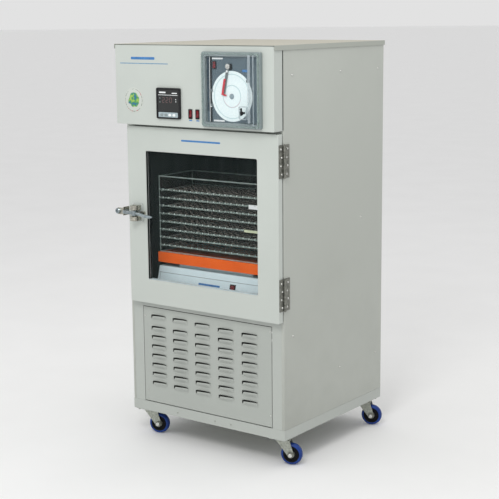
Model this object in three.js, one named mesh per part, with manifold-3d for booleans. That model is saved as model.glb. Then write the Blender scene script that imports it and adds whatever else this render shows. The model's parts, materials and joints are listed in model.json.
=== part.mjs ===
// Laboratory platelet incubator: an insulated upright cabinet on four castors, with a glazed door, a control
// fascia with a chart recorder, a louvred machine bay and a shaking tray rack inside the chamber.
// Millimetres, +Z up. The working frame has x = 0 at mid width (+x is the hinge side), y = 0 on the casing's
// front plane (+y is the back) and z = 0 on the floor; the finished group is moved so that its origin lies in
// the middle of its footprint.
import * as THREE from "three";
import { mergeVertices } from "three/addons/utils/BufferGeometryUtils.js";
import Module from "manifold-3d";

const wasm = await Module();
wasm.setup();

// ---- driving dimensions ------------------------------------------------------------------------------------
const GAP = 0.3; // between pieces that rest on each other
const SHEET = 1.5; // casing sheet
const CASING = { width: 620, depth: 577, top: 1305 };
const HALF = CASING.width / 2;
const BASE = { under: 92, top: 125, rail: 46 };
const COVER = { top: 1308, skirt: 15, overhang: 3.3 };
const FACE = { thick: 2, bayTop: 452, bayLeft: -259.5, bayRight: 264 };
const LOUVRES = {
  left: -257.4, right: 262, bottom: 128.3, top: 449.7, thick: 1.5,
  columns: 5, rows: 8, firstX: -193.6, pitchX: 92.8, lastZ: 200, pitchZ: 31.4,
  width: 62, height: 18, depth: 9,
};
const CHAMBER = { half: 252, bottom: 487, top: 1030, back: 515, sheet: 1.2, wall: 38 };
const DOOR = { left: -286.8, right: 309.7, bottom: 470.7, top: 1047, front: -26, back: -5.2, skin: 1.5 };
const WINDOW = { left: -210.3, right: 230.7, bottom: 550.2, top: 969.8, radius: 5, glass: 4 };
const GASKET = { inset: 11, width: 13, front: -4.9, back: -0.3 };
const HINGE = {
  x: 315.5, y: -2.5, barrel: 4.5, pin: 2, bore: 2.4, leafThick: 2, height: 100, knuckles: 5,
  middles: { lower: 557.7, upper: 965 },
};
const FASCIA = { front: -46.7, bottom: 1055.2, top: 1305, sheet: 1.5, corner: 3 };
const CONTROLLER = { x: -89.6, z: 1126.6, bezel: 96, body: 91, proud: 7, bezelDepth: 6.7, depth: 95 };
const ROCKERS = { xs: { left: -5, right: 22.7 }, z: 1096.9, width: 15, height: 30, travel: 7 };
const RECORDER = {
  left: 49, right: 269, bottom: 1062, top: 1288.6, corner: 9, frame: 15, proud: 12, depth: 52,
  chartX: 157.7, chartZ: 1156, chartR: 76, penX: 145.5, penZ: 1244.8, penTipX: 128.7, penTipZ: 1159,
};
const RECORDER_KNOB = { x: 214, z: 1110 };
const LATCH = { x: -247, y: -45, z: 768, ear: 14.5, height: 50, earThick: 14.5, pin: 3.5, bore: 3.9 };
const STRIKE = { x: -333, y: -28, z: 766, height: 22 };
const AGITATOR = { half: 218, top: 585.5, front: 40, back: 262, toe: 14, fold: 569, switchX: 91, switchZ: 545 };
const RAILS = { ys: [65, 220], half: 150, width: 10, top: 596, glideX: 120, glide: 30 };
const PLATFORM = { half: 221, bottom: 597.8, top: 631.3, front: 37, back: 245 };
const RACK = { half: 215, bottom: 632, top: 884, front: 41, back: 212, wall: 4 };
const TRAYS = { count: 8, first: 652.6, pitch: 26.1, floor: 2.5, lip: 8, wall: 2.5, side: 3 };
const CRANK = { y: 140, radius: 26, throw: 19 };
const CASTOR = { insetX: 38, insetY: 46, plateX: 64, plateY: 84, trail: 28, angle: 20, wheel: 35, tyre: 24 };
const FAN = { y: 487, z: 800, radius: 62 };
const CONDENSER = { x: 90, z: 245, radius: 96 };

// ---- small geometry helpers --------------------------------------------------------------------------------
function solid(geometry) {
  const bare = geometry.index ? geometry.toNonIndexed() : geometry.clone();
  bare.deleteAttribute("normal");
  bare.deleteAttribute("uv");
  const merged = mergeVertices(bare, 1e-4);
  const make = (triVerts) =>
    new wasm.Manifold(
      new wasm.Mesh({ numProp: 3, vertProperties: merged.attributes.position.array, triVerts }),
    );
  const faces = new Uint32Array(merged.index.array);
  const made = make(faces);
  if (made.volume() > 0) return made;
  for (let i = 0; i < faces.length; i += 3) [faces[i + 1], faces[i + 2]] = [faces[i + 2], faces[i + 1]];
  return make(faces);
}

function geometryOf(body) {
  const mesh = body.getMesh();
  return new THREE.BufferGeometry()
    .setAttribute("position", new THREE.BufferAttribute(mesh.vertProperties, 3))
    .setIndex(new THREE.BufferAttribute(mesh.triVerts, 1))
    .toNonIndexed();
}

const join = (...bodies) => bodies.reduce((whole, body) => whole.add(body));
const cut = (body, ...tools) => tools.reduce((rest, tool) => rest.subtract(tool), body);

function box(x0, x1, y0, y1, z0, z1) {
  const g = new THREE.BoxGeometry(x1 - x0, y1 - y0, z1 - z0);
  return solid(g.translate((x0 + x1) / 2, (y0 + y1) / 2, (z0 + z1) / 2));
}

// An outline in (x, z), extruded along y from y0 to y1.
function frontPlate(shape, y0, y1, curveSegments = 4) {
  const g = new THREE.ExtrudeGeometry(shape, { depth: y1 - y0, bevelEnabled: false, curveSegments });
  return solid(g.rotateX(Math.PI / 2).translate(0, y1, 0));
}

// An outline in (x, y), extruded along z from z0 to z1.
function floorPlate(shape, z0, z1, curveSegments = 4) {
  const g = new THREE.ExtrudeGeometry(shape, { depth: z1 - z0, bevelEnabled: false, curveSegments });
  return solid(g.translate(0, 0, z0));
}

// An outline in (y, z), extruded along x from x0 to x1.
function sidePlate(shape, x0, x1, curveSegments = 4) {
  const turn = new THREE.Matrix4().set(0, 0, 1, 0, 1, 0, 0, 0, 0, 1, 0, 0, 0, 0, 0, 1);
  const g = new THREE.ExtrudeGeometry(shape, { depth: x1 - x0, bevelEnabled: false, curveSegments });
  return solid(g.applyMatrix4(turn).translate(x0, 0, 0));
}

function outline(points) {
  return new THREE.Shape(points.map(([a, b]) => new THREE.Vector2(a, b)));
}

function roundedRect(a0, a1, b0, b1, r) {
  const s = new THREE.Shape();
  s.moveTo(a0 + r, b0);
  s.lineTo(a1 - r, b0);
  s.absarc(a1 - r, b0 + r, r, -Math.PI / 2, 0);
  s.lineTo(a1, b1 - r);
  s.absarc(a1 - r, b1 - r, r, 0, Math.PI / 2);
  s.lineTo(a0 + r, b1);
  s.absarc(a0 + r, b1 - r, r, Math.PI / 2, Math.PI);
  s.lineTo(a0, b0 + r);
  s.absarc(a0 + r, b0 + r, r, Math.PI, 1.5 * Math.PI);
  return s;
}

// A round bar from `a` to `b`, two points that differ along one axis only.
function bar(a, b, radius, sides = 16) {
  const [from, to] = [new THREE.Vector3(...a), new THREE.Vector3(...b)];
  const along = to.clone().sub(from);
  const g = new THREE.CylinderGeometry(radius, radius, along.length(), sides);
  const turn = new THREE.Quaternion().setFromUnitVectors(new THREE.Vector3(0, 1, 0), along.normalize());
  return solid(g.applyQuaternion(turn).translate(...from.add(to).multiplyScalar(0.5).toArray()));
}

// A turned piece about the z axis through (x, y); the profile is a list of [radius, z].
function turned(profile, x, y, sides = 24) {
  const g = new THREE.LatheGeometry(profile.map(([r, z]) => new THREE.Vector2(r, z)), sides);
  return solid(g.rotateX(Math.PI / 2).translate(x, y, 0));
}

// ---- the assembly ------------------------------------------------------------------------------------------
const cabinet = new THREE.Group();

const FINISH = {
  grey_paint: { color: 0xced4d0, roughness: 0.5, metalness: 0.1 },
  stainless: { color: 0x8f9496, roughness: 0.35, metalness: 0.9 },
  zinc: { color: 0xb9bdb8, roughness: 0.4, metalness: 0.8 },
  nickel: { color: 0xc4c4bc, roughness: 0.25, metalness: 1 },
  clear: { color: 0xdfeaea, roughness: 0.05, metalness: 0, transparent: true, opacity: 0.3 },
  black: { color: 0x1c1d1f, roughness: 0.6, metalness: 0 },
  grey_plastic: { color: 0x8e9797, roughness: 0.35, metalness: 0 },
  red: { color: 0x8c1418, roughness: 0.3, metalness: 0 },
  orange: { color: 0xde6734, roughness: 0.5, metalness: 0 },
  pale_blue: { color: 0xd3e2e6, roughness: 0.5, metalness: 0 },
  paper: { color: 0xf2f6f4, roughness: 0.9, metalness: 0 },
  blue_tyre: { color: 0x153a8c, roughness: 0.6, metalness: 0 },
  foam: { color: 0xe8dcae, roughness: 0.95, metalness: 0 },
};

function place(name, body, finish, group = cabinet) {
  const mesh = new THREE.Mesh(geometryOf(body), new THREE.MeshStandardMaterial(FINISH[finish]));
  mesh.name = name;
  group.add(mesh);
}

// ---- casing ------------------------------------------------------------------------------------------------
// A channel ring open downwards, with a castor plate let into each corner.
function baseFrame() {
  const { under, top, rail } = BASE;
  const block = box(-HALF, HALF, 0, CASING.depth, under, top);
  const middle = box(-HALF + rail, HALF - rail, rail, CASING.depth - rail, under - 1, top + 1);
  const inner = (w) => [
    box(-HALF + w, HALF - w, w, rail - w, under - 1, top - w),
    box(-HALF + w, HALF - w, CASING.depth - rail + w, CASING.depth - w, under - 1, top - w),
    box(-HALF + w, -HALF + rail - w, w, CASING.depth - w, under - 1, top - w),
    box(HALF - rail + w, HALF - w, w, CASING.depth - w, under - 1, top - w),
  ];
  const ring = cut(cut(block, middle), ...inner(2));
  const plates = castorAxes().map(({ x, y }) => {
    const [px, py] = [CASTOR.plateX / 2, CASTOR.plateY / 2];
    return box(x - px, x + px, y - py, y + py, under - 3, under + 0.5);
  });
  return join(ring, ...plates);
}

function castorAxes() {
  const axes = [];
  for (const [side, sx] of [["left", -1], ["right", 1]]) {
    for (const [end, y] of [["front", CASTOR.insetY], ["rear", CASING.depth - CASTOR.insetY]]) {
      axes.push({ name: `${end}_${side}`, x: sx * (HALF - CASTOR.insetX), y });
    }
  }
  return axes;
}

function sidePanel(sign) {
  const [near, far] = [HALF - SHEET, HALF].map((x) => sign * x);
  const z = [BASE.top + GAP, CASING.top - 4];
  return box(Math.min(near, far), Math.max(near, far), 0, CASING.depth, ...z);
}

// The back sheet, with rows of exhaust slots behind the machine bay and a cut-out for the mains inlet.
function backPanel() {
  const inside = HALF - SHEET - GAP;
  const y = [CASING.depth - SHEET, CASING.depth];
  const slots = [];
  for (const x of [-150, 0, 150]) {
    for (let row = 0; row < 6; row += 1) {
      const z = 190 + 30 * row;
      slots.push(box(x - 50, x + 50, y[0] - 1, y[1] + 1, z, z + 8));
    }
  }
  slots.push(box(216, 244, y[0] - 1, y[1] + 1, 150, 198));
  return cut(box(-inside, inside, ...y, BASE.top + GAP, CASING.top - 4), ...slots);
}

// A shallow lid over the casing and the fascia. Its skirt runs down both sides and the back.
function topCover() {
  const { top, skirt, overhang } = COVER;
  const [x, y0, y1] = [HALF + overhang, FASCIA.front - 1.3, CASING.depth + overhang];
  const lid = box(-x, x, y0, y1, top - skirt, top);
  const hollow = box(-x + SHEET, x - SHEET, y0 - 1, y1 - SHEET, top - skirt - 1, top - SHEET);
  return cut(lid, hollow);
}

// The welded front plate: openings for the machine bay, the chamber mouth and the back of the fascia.
function faceFrame() {
  const inside = HALF - SHEET - GAP;
  const plate = box(-inside, inside, 0, FACE.thick, BASE.top + GAP, CASING.top - 4);
  const { half, bottom, top } = CHAMBER;
  return cut(
    plate,
    box(FACE.bayLeft, FACE.bayRight, -1, FACE.thick + 1, BASE.top - 1, FACE.bayTop),
    box(-half, half, -1, FACE.thick + 1, bottom, top),
    box(-280, 285, -1, FACE.thick + 1, 1070, 1290),
  );
}

// One louvre: a hood pressed outwards, closed below and at its ends and open along its top edge.
function louvreHood(x, z) {
  const { width, height, depth, thick } = LOUVRES;
  const profile = (grow) => [
    [thick / 2, z - height - grow], [-depth * 0.55 - grow, z - height * 0.55], [-depth - grow, z],
    [thick / 2, z],
  ];
  const skin = 1.1;
  const outer = sidePlate(outline(profile(0)), x - width / 2, x + width / 2);
  const inner = [
    [thick + 1, z - height + 2.5], [0, z - height + 2.5], [-depth * 0.55 + skin, z - height * 0.55 + 0.4],
    [-depth + skin, z + 1], [thick + 1, z + 1],
  ];
  return { outer, inner: sidePlate(outline(inner), x - width / 2 + skin, x + width / 2 - skin) };
}

function louvrePanel() {
  const { left, right, bottom, top, thick, columns, rows, firstX, pitchX, lastZ, pitchZ } = LOUVRES;
  const hoods = [];
  for (let c = 0; c < columns; c += 1) {
    for (let r = 0; r < rows; r += 1) {
      hoods.push(louvreHood(firstX + c * pitchX, lastZ + r * pitchZ));
    }
  }
  const sheet = join(box(left, right, 0, thick, bottom, top), ...hoods.map((h) => h.outer));
  return cut(sheet, ...hoods.map((h) => h.inner));
}

function machineDeck() {
  const inside = HALF - SHEET - 4;
  return box(-inside, inside, 6, CASING.depth - SHEET - 4, BASE.top + GAP, BASE.top + GAP + 2);
}

// An open-fronted box of sheet, from its inner faces outwards.
function openBox({ half, bottom, top, back }, y0, wall, skin) {
  const hollow = box(-half - skin, half + skin, y0 - 1, back + skin, bottom - skin, top + skin);
  const t = skin + wall;
  return cut(box(-half - t, half + t, y0, back + t, bottom - t, top + t), hollow);
}

function chamberLiner() {
  return openBox(CHAMBER, FACE.thick + GAP, CHAMBER.sheet, 0);
}

function insulation() {
  const { sheet, wall } = CHAMBER;
  return openBox(CHAMBER, FACE.thick + GAP, wall, sheet + GAP);
}

// ---- machinery ---------------------------------------------------------------------------------------------
// A housing over the cooling coil on the chamber's back wall, with a round fan mouth and an outlet slot.
function evaporatorCover() {
  const [x, z0, z1, y0, y1] = [190, 640, 985, 470, CHAMBER.back - 1];
  const shell = cut(
    box(-x, x, y0, y1, z0, z1),
    box(-x + 1.5, x - 1.5, y0 + 1.5, y1 + 1, z0 + 1.5, z1 - 1.5),
    bar([0, y0 - 1, FAN.z], [0, y0 + 3, FAN.z], FAN.radius + 5, 32),
    box(-150, 150, y0 - 1, y0 + 3, z1 - 30, z1 - 14),
  );
  const strut = box(-FAN.radius - 8, FAN.radius + 8, y1 - 5, y1 - 2, FAN.z - 8, FAN.z + 8);
  const motor = bar([0, y1 - 14, FAN.z], [0, y1 - 3, FAN.z], 16, 20);
  const shaft = bar([0, y1 - 40, FAN.z], [0, y1 - 13, FAN.z], 2.5, 12);
  const legs = [-1, 1].map((s) => {
    const a = s * (FAN.radius + 8);
    const b = s * (x - 1);
    return box(Math.min(a, b) - 0.5, Math.max(a, b) + 0.5, y1 - 5, y1 - 2, FAN.z - 8, FAN.z + 8);
  });
  return join(shell, strut, motor, shaft, ...legs);
}

// A bladed wheel about a line along y.
function fanWheel(x, y, z, radius, hub, length, blades) {
  const middle = bar([x, y, z], [x, y + length, z], hub, 20);
  const parts = [];
  for (let i = 0; i < blades; i += 1) {
    const g = new THREE.BoxGeometry(radius - hub + 2, 1.6, hub * 1.5);
    g.rotateX(0.5);
    g.translate((radius + hub - 2) / 2, length / 2, 0);
    g.rotateY((2 * Math.PI * i) / blades);
    parts.push(solid(g.translate(x, y, z)));
  }
  return join(middle, ...parts);
}

function circulationFan() {
  const wheel = fanWheel(0, FAN.y - 12, FAN.z, FAN.radius - 4, 15, 12, 5);
  return cut(wheel, bar([0, FAN.y - 14, FAN.z], [0, FAN.y + 2, FAN.z], 2.9, 12));
}

// Hermetic compressor: a domed steel pot on a foot plate with four rubber-height legs.
function compressor() {
  const [x, y, z] = [-150, 360, BASE.top + GAP + 2 + GAP];
  const pot = turned(
    [[0, z + 12], [52, z + 12], [66, z + 22], [70, z + 36], [70, z + 118], [72, z + 122], [72, z + 128],
      [69, z + 132], [62, z + 158], [44, z + 174], [22, z + 181], [0, z + 183]],
    x, y, 24,
  );
  const foot = box(x - 92, x + 92, y - 62, y + 62, z + 9, z + 13);
  const legs = [];
  for (const dx of [-80, 80]) {
    for (const dy of [-50, 50]) legs.push(bar([x + dx, y + dy, z], [x + dx, y + dy, z + 10], 11, 12));
  }
  const terminals = box(x + 60, x + 96, y - 22, y + 22, z + 60, z + 104);
  return join(pot, foot, terminals, ...legs);
}

// Finned condenser block with a round fan shroud on its back and the fan motor on a cross strut.
function condenser() {
  const { x, z, radius } = CONDENSER;
  const z0 = BASE.top + GAP + 2 + GAP;
  const block = box(x - 125, x + 125, 60, 100, z0, 360);
  const plate = box(x - 112, x + 112, 98, 102, z - 110, z + 110);
  const ring = cut(
    bar([x, 101, z], [x, 140, z], radius + 8, 32),
    bar([x, 103, z], [x, 150, z], radius + 4, 32),
  );
  const strut = box(x - radius - 6, x + radius + 6, 136, 140, z - 9, z + 9);
  const motor = bar([x, 128, z], [x, 152, z], 26, 20);
  const shaft = bar([x, 108, z], [x, 130, z], 3, 12);
  return join(block, plate, ring, strut, motor, shaft);
}

function condenserFan() {
  const { x, z, radius } = CONDENSER;
  const wheel = fanWheel(x, 108, z, radius - 2, 18, 14, 5);
  return cut(wheel, bar([x, 106, z], [x, 124, z], 3.4, 12));
}

// Appliance inlet: a flanged socket with three pins, set in the back sheet.
function mainsInlet() {
  const y = CASING.depth + GAP;
  const flange = frontPlate(roundedRect(211, 249, 144, 204, 4), y, y + 3);
  const barrel = box(216.5, 243.5, y - 26, y + 0.5, 150.5, 197.5);
  const pocket = box(219, 241, y - 18, y + 4, 153, 195);
  const pins = [[225, 160], [225, 188], [235, 174]].map(([px, pz]) =>
    box(px - 2, px + 2, y - 19, y - 4, pz - 1, pz + 1),
  );
  return join(cut(join(flange, barrel), pocket), ...pins);
}

// ---- door --------------------------------------------------------------------------------------------------
// The outer skin, a pan with a window cut in it: folded edges run back round the rim and round the window.
function doorShell() {
  const { left, right, bottom, top, front, back, skin } = DOOR;
  const pan = frontPlate(roundedRect(left, right, bottom, top, 3), front, back - GAP - 1, 3);
  const hollowOuter = box(left + skin, right - skin, front + skin, back + 1, bottom + skin, top - skin);
  const { left: wl, right: wr, bottom: wb, top: wt, radius } = WINDOW;
  const wall = skin + 0.5;
  const sleeve = frontPlate(
    roundedRect(wl - wall, wr + wall, wb - wall, wt + wall, radius), front + 0.1, front + 7, 3,
  );
  const hole = frontPlate(roundedRect(wl, wr, wb, wt, radius), front - 1, back + 1, 3);
  return cut(join(cut(pan, hollowOuter), sleeve), hole);
}

// The foamed core with its inner lining. A rebate holds the glass behind the skin.
function doorCore() {
  const { left, right, bottom, top, front, back, skin } = DOOR;
  const e = skin + GAP;
  const { left: wl, right: wr, bottom: wb, top: wt, glass } = WINDOW;
  const block = box(left + e, right - e, front + e, back, bottom + e, top - e);
  const sight = box(wl, wr, front - 1, back + 1, wb, wt);
  const rebate = box(wl - 12, wr + 12, front - 1, front + 7 + GAP + glass + GAP, wb - 12, wt + 12);
  return cut(block, sight, rebate);
}

function doorGlass() {
  const { left, right, bottom, top, glass } = WINDOW;
  const y = DOOR.front + 7 + GAP;
  return box(left - 11, right + 11, y, y + glass, bottom - 11, top + 11);
}

function doorGasket() {
  const { inset, width, front, back } = GASKET;
  const ring = (d) => roundedRect(DOOR.left + d, DOOR.right - d, DOOR.bottom + d, DOOR.top - d, 4);
  return cut(
    frontPlate(ring(inset), front, back, 2),
    frontPlate(ring(inset + width), front - 1, back + 1, 2),
  );
}

// One leaf of a butt hinge on the side of the cabinet. `side` is +1 on the casing, which keeps the pin.
function hingeLeaf(side, middle) {
  const { x, y, barrel, pin, bore, leafThick, height, knuckles } = HINGE;
  const z0 = middle - height / 2;
  const x0 = HALF + GAP;
  const leaf = side > 0
    ? box(x0, x0 + leafThick, y + barrel + 0.6, 28, z0, z0 + height)
    : box(x0, x0 + leafThick, DOOR.front + 0.8, y - barrel - 0.6, z0, z0 + height);
  const pieces = [leaf];
  const step = height / knuckles;
  for (let k = 0; k < knuckles; k += 1) {
    if ((k % 2 === 0) !== side > 0) continue;
    const [a, b] = [z0 + k * step + 0.3, z0 + (k + 1) * step - 0.3];
    const knuckle = bar([x, y, a], [x, y, b], barrel, 20);
    const wing = side > 0
      ? box(x0, x0 + leafThick, y - 0.5, y + barrel + 1, a, b)
      : box(x0, x0 + leafThick, y - barrel - 1, y + 0.5, a, b);
    pieces.push(side > 0 ? join(knuckle, wing) : cut(join(knuckle, wing), bar([x, y, a - 1], [x, y, b + 1], bore, 16)));
  }
  if (side > 0) pieces.push(bar([x, y, z0 - 2], [x, y, z0 + height + 2], pin, 16));
  return join(...pieces);
}

// ---- latch -------------------------------------------------------------------------------------------------
// A cast yoke screwed to the door: a foot, two round ears one above the other and the pin through them.
function latchBody() {
  const { x, y, z, ear, height, earThick, pin } = LATCH;
  const face = DOOR.front - GAP;
  const [z0, z1] = [z - height / 2, z + height / 2];
  const foot = frontPlate(roundedRect(x - 22, x + 22, z0 - 6, z1 + 6, 5), face - 4, face);
  const ears = [[z0, z0 + earThick], [z1 - earThick, z1]].map(([a, b]) =>
    join(bar([x, y, a], [x, y, b], ear, 24), box(x - ear, x + ear, y, face - 3, a, b)),
  );
  const lug = box(x + 14, x + 31, face - 8, face, z - 7, z + 5);
  return join(foot, ...ears, lug, bar([x, y, z0 + 1], [x, y, z1 - 1], pin, 16));
}

// The lever: an eye on the pin, a tapered handle towards the hinge side and a claw that bends round the
// door's edge towards the strike.
function latchLever() {
  const { x, y, z, bore } = LATCH;
  const [z0, z1] = [z - 7.5, z + 5.5];
  const eye = bar([x, y, z - LATCH.height / 2 + LATCH.earThick + 0.5], [x, y, z + 10], 9.5, 24);
  const handle = new THREE.Shape();
  handle.moveTo(x + 4, y - 8);
  handle.quadraticCurveTo(x + 40, y - 12, x + 84, y - 15);
  handle.absarc(x + 84, y - 12, 3, -Math.PI / 2, Math.PI / 2);
  handle.quadraticCurveTo(x + 40, y - 3, x + 4, y + 3);
  const claw = outline([
    [x - 4, y - 5], [x - 44, y - 3], [x - 54, y + 2], [x - 54, y + 24], [x - 60, y + 24],
    [x - 60, y + 29], [x - 49, y + 29], [x - 49, y + 6], [x - 42, y + 4], [x - 4, y + 5],
  ]);
  const body = join(eye, floorPlate(handle, z0, z1, 6), floorPlate(claw, z0 + 1, z1 - 1));
  return cut(body, bar([x, y, z - 30], [x, y, z + 30], bore, 20));
}

// The strike: an angle screwed to the casing's side, with a lip in front of the claw and a round boss.
function strikeBracket() {
  const { x, y, z, height } = STRIKE;
  const face = -HALF - GAP;
  const [z0, z1] = [z - height / 2, z + height / 2];
  const foot = box(face - 3, face, y, 36, z0 - 3, z1 + 3);
  const flange = box(x - 4, -308.5, y, y + 4, z0, z1);
  const boss = bar([x, y - 6, z], [x, y + 10, z], 9, 24);
  return join(foot, flange, boss);
}

// ---- control fascia ----------------------------------------------------------------------------------------
// An open-backed box in front of the casing, with cut-outs for the instruments.
function controlFascia() {
  const { front, bottom, top, sheet, corner } = FASCIA;
  const outer = frontPlate(roundedRect(-HALF, HALF, bottom, top, corner), front, -GAP, 2);
  const hollow = box(-HALF + sheet, HALF - sheet, front + sheet, 1, bottom + sheet, top - sheet);
  const c = CONTROLLER;
  const half = c.body / 2 + GAP;
  const r = RECORDER;
  const holes = [
    box(c.x - half, c.x + half, front - 1, front + 3, c.z - half, c.z + half),
    box(r.left + 9, r.right - 9, front - 1, front + 3, r.bottom + 9, r.top - 9),
  ];
  for (const x of Object.values(ROCKERS.xs)) {
    const [w, h] = [ROCKERS.width / 2 - 0.8, ROCKERS.height / 2 - 1.2];
    holes.push(box(x - w, x + w, front - 1, front + 3, ROCKERS.z - h, ROCKERS.z + h));
  }
  return cut(outer, hollow, ...holes);
}

// Panel-mounted controller: a bevelled bezel in front of a square case.
function temperatureController() {
  const { x, z, bezel, body, bezelDepth, depth } = CONTROLLER;
  const y = FASCIA.front - GAP;
  const [b, c] = [bezel / 2, body / 2];
  const rim = cut(
    frontPlate(roundedRect(x - b, x + b, z - b, z + b, 5), y - bezelDepth, y, 3),
    frontPlate(roundedRect(x - b + 5, x + b - 5, z - b + 5, z + b - 5, 2), y - bezelDepth - 1, y - bezelDepth + 2, 2),
  );
  return join(rim, box(x - c, x + c, y - 1, y + depth, z - c, z + c));
}

// A rocker switch's housing: a thin bezel with a well, and the case behind the panel.
function switchHousing(x) {
  const y = FASCIA.front - GAP;
  const [w, h] = [ROCKERS.width / 2, ROCKERS.height / 2];
  const z = ROCKERS.z;
  const bezel = frontPlate(roundedRect(x - w, x + w, z - h, z + h, 2), y - 2, y, 2);
  const body = box(x - w + 1.2, x + w - 1.2, y - 1, y + 22, z - h + 1.6, z + h - 1.6);
  const well = box(x - w + 2.2, x + w - 2.2, y - 3, y + 9, z - h + 2.8, z + h - 2.8);
  return cut(join(bezel, body), well);
}

// The rocker itself, a shallow V seen from the side, tipped about its axis along x with its top pressed in.
function switchRocker(x) {
  const y = FASCIA.front - GAP + 5;
  const [w, h] = [ROCKERS.width / 2 - 2.6, ROCKERS.height / 2 - 4.2];
  const side = [[2, -3], [-4, -h], [-7.5, -h], [-5.4, 0], [-7.5, h], [-4, h], [2, 3]];
  const tip = THREE.MathUtils.degToRad(-ROCKERS.travel);
  const turned = side.map(([b, c]) => [
    y + b * Math.cos(tip) - c * Math.sin(tip),
    ROCKERS.z + b * Math.sin(tip) + c * Math.cos(tip),
  ]);
  return sidePlate(outline(turned), x - w, x + w);
}

// ---- chart recorder ----------------------------------------------------------------------------------------
function recorderCase() {
  const { left, right, bottom, top, corner, frame, proud, depth } = RECORDER;
  const y = FASCIA.front - GAP;
  const rim = frontPlate(roundedRect(left, right, bottom, top, corner), y - proud, y, 4);
  const body = box(left + 10, right - 10, y - 1, y + depth, bottom + 10, top - 10);
  const well = box(left + frame, right - frame, y - proud - 1, y - 1.5, bottom + frame, top - frame);
  const spindle = bar([RECORDER.chartX, y - 3.2, RECORDER.chartZ], [RECORDER.chartX, y, RECORDER.chartZ], 2.5, 12);
  const post = bar([RECORDER.penX, y - 5.2, RECORDER.penZ], [RECORDER.penX, y, RECORDER.penZ], 2.5, 12);
  return join(cut(join(rim, body), well), spindle, post);
}

// The paper chart on its hub.
function chartDisc() {
  const { chartX: x, chartZ: z, chartR } = RECORDER;
  const y = FASCIA.front - GAP;
  const disc = bar([x, y - 3.4, z], [x, y - 2.4, z], chartR, 48);
  const hub = bar([x, y - 5.6, z], [x, y - 3, z], 6.6, 16);
  return cut(join(disc, hub), bar([x, y - 3.6, z], [x, y - 2, z], 2.9, 12));
}

// The pen arm: a round clamp, a flat arm and the pen at its tip.
function penArm() {
  const { penX: x, penZ: z, penTipX, penTipZ } = RECORDER;
  const y = FASCIA.front - GAP;
  const reach = Math.hypot(penTipX - x, penTipZ - z);
  const lean = Math.atan2(penTipX - x, z - penTipZ);
  const arm = outline([[-3.5, 0], [-2.2, -reach], [2.2, -reach], [3.5, 0]]);
  const flat = new THREE.ExtrudeGeometry(arm, { depth: 1.4, bevelEnabled: false });
  flat.rotateX(Math.PI / 2).rotateY(-lean).translate(x, y - 6.4, z);
  const clamp = bar([x, y - 9, z], [x, y - 4.2, z], 8, 20);
  return cut(join(clamp, solid(flat)), bar([x, y - 5.6, z], [x, y - 3, z], 2.9, 12));
}

// The clear door of the recorder: a moulded tray that covers the case, with a catch block low on the right.
function recorderDoor() {
  const { left, right, bottom, top, proud } = RECORDER;
  const y = FASCIA.front - 2 * GAP - proud;
  const edge = 4;
  const outer = frontPlate(roundedRect(left + edge, right - edge, bottom + edge, top - edge, 7), y - 9, y, 4);
  const inner = frontPlate(
    roundedRect(left + edge + 3, right - edge - 3, bottom + edge + 3, top - edge - 3, 4), y - 6, y + 1, 3,
  );
  const { x, z } = RECORDER_KNOB;
  const block = box(x - 15, x + 30, y - 15, y - 8, z - 20, z + 20);
  const hole = bar([x, y - 16, z], [x, y - 4, z], 3.6, 16);
  return cut(join(cut(outer, inner), block), hole);
}

// A quarter-turn knob: a stem through the catch block, a round boss and a finger lever.
function recorderKnob() {
  const { x, z } = RECORDER_KNOB;
  const y = FASCIA.front - 2 * GAP - RECORDER.proud;
  const stem = bar([x, y - 18, z], [x, y - 3.5, z], 3, 12);
  const boss = bar([x, y - 21, z], [x, y - 15.4, z], 7, 20);
  const lever = frontPlate(outline([[x - 3.5, z - 3], [x + 3.5, z - 3], [x + 2, z + 17], [x - 2, z + 17]]), y - 23, y - 18);
  return join(stem, boss, lever);
}

// ---- agitator ----------------------------------------------------------------------------------------------
// Turns a piece drawn upright at the origin into the plane of the sloping front and sets it at the switch.
function onSlope(geometry) {
  const { front, toe, fold, switchX, switchZ } = AGITATOR;
  const foot = CHAMBER.bottom + GAP + 9;
  const run = front - 4 - toe;
  const lean = Math.atan2(run, fold - foot);
  const y = toe + (run * (switchZ - foot)) / (fold - foot);
  return solid(geometry.rotateX(-lean).translate(switchX, y, switchZ));
}

// The drive housing: a hollow moulded case with a sloping front, a switch well, a hole for the crank shaft
// and two rails on top for the shuttle platform.
function agitatorBase() {
  const { half, top, front, back, toe, fold } = AGITATOR;
  const foot = CHAMBER.bottom + GAP;
  const shell = (t) => outline([
    [toe + t, foot - (t ? 1 : 0)], [toe + t, foot + 9], [front - 4 + t, fold - t * 0.3], [front + t, top - t],
    [back - t, top - t], [back - t, foot - (t ? 1 : 0)],
  ]);
  const wall = 2.5;
  const hood = cut(
    sidePlate(shell(0), -half, half),
    sidePlate(shell(wall), -half + wall, half - wall),
    bar([0, CRANK.y, top - 5], [0, CRANK.y, top + 1], 9, 20),
    onSlope(new THREE.BoxGeometry(16.6, 12, 20.6)),
  );
  const rails = RAILS.ys.map((y) =>
    box(-RAILS.half, RAILS.half, y - RAILS.width / 2, y + RAILS.width / 2, top - 1, RAILS.top),
  );
  return join(hood, ...rails);
}

// The drive's own rocker switch, set in the sloping front.
function agitatorRocker() {
  return onSlope(new THREE.BoxGeometry(15.4, 5.5, 19.2).translate(0, 0.25, 0));
}

// Gear motor on a foot bracket inside the drive housing, its shaft standing up through the top.
function agitatorMotor() {
  const y = CRANK.y;
  const foot = CHAMBER.bottom + GAP;
  const gearbox = box(-34, 34, y - 28, y + 28, foot + 40, foot + 82);
  const motor = bar([0, y + 10, foot + 4], [0, y + 10, foot + 42], 24, 20);
  const plate = box(-40, 40, y - 34, y + 40, foot, foot + 4.5);
  const shaft = bar([0, y, foot + 80], [0, y, AGITATOR.top + 3.5], 4, 16);
  return join(plate, motor, gearbox, shaft);
}

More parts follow.
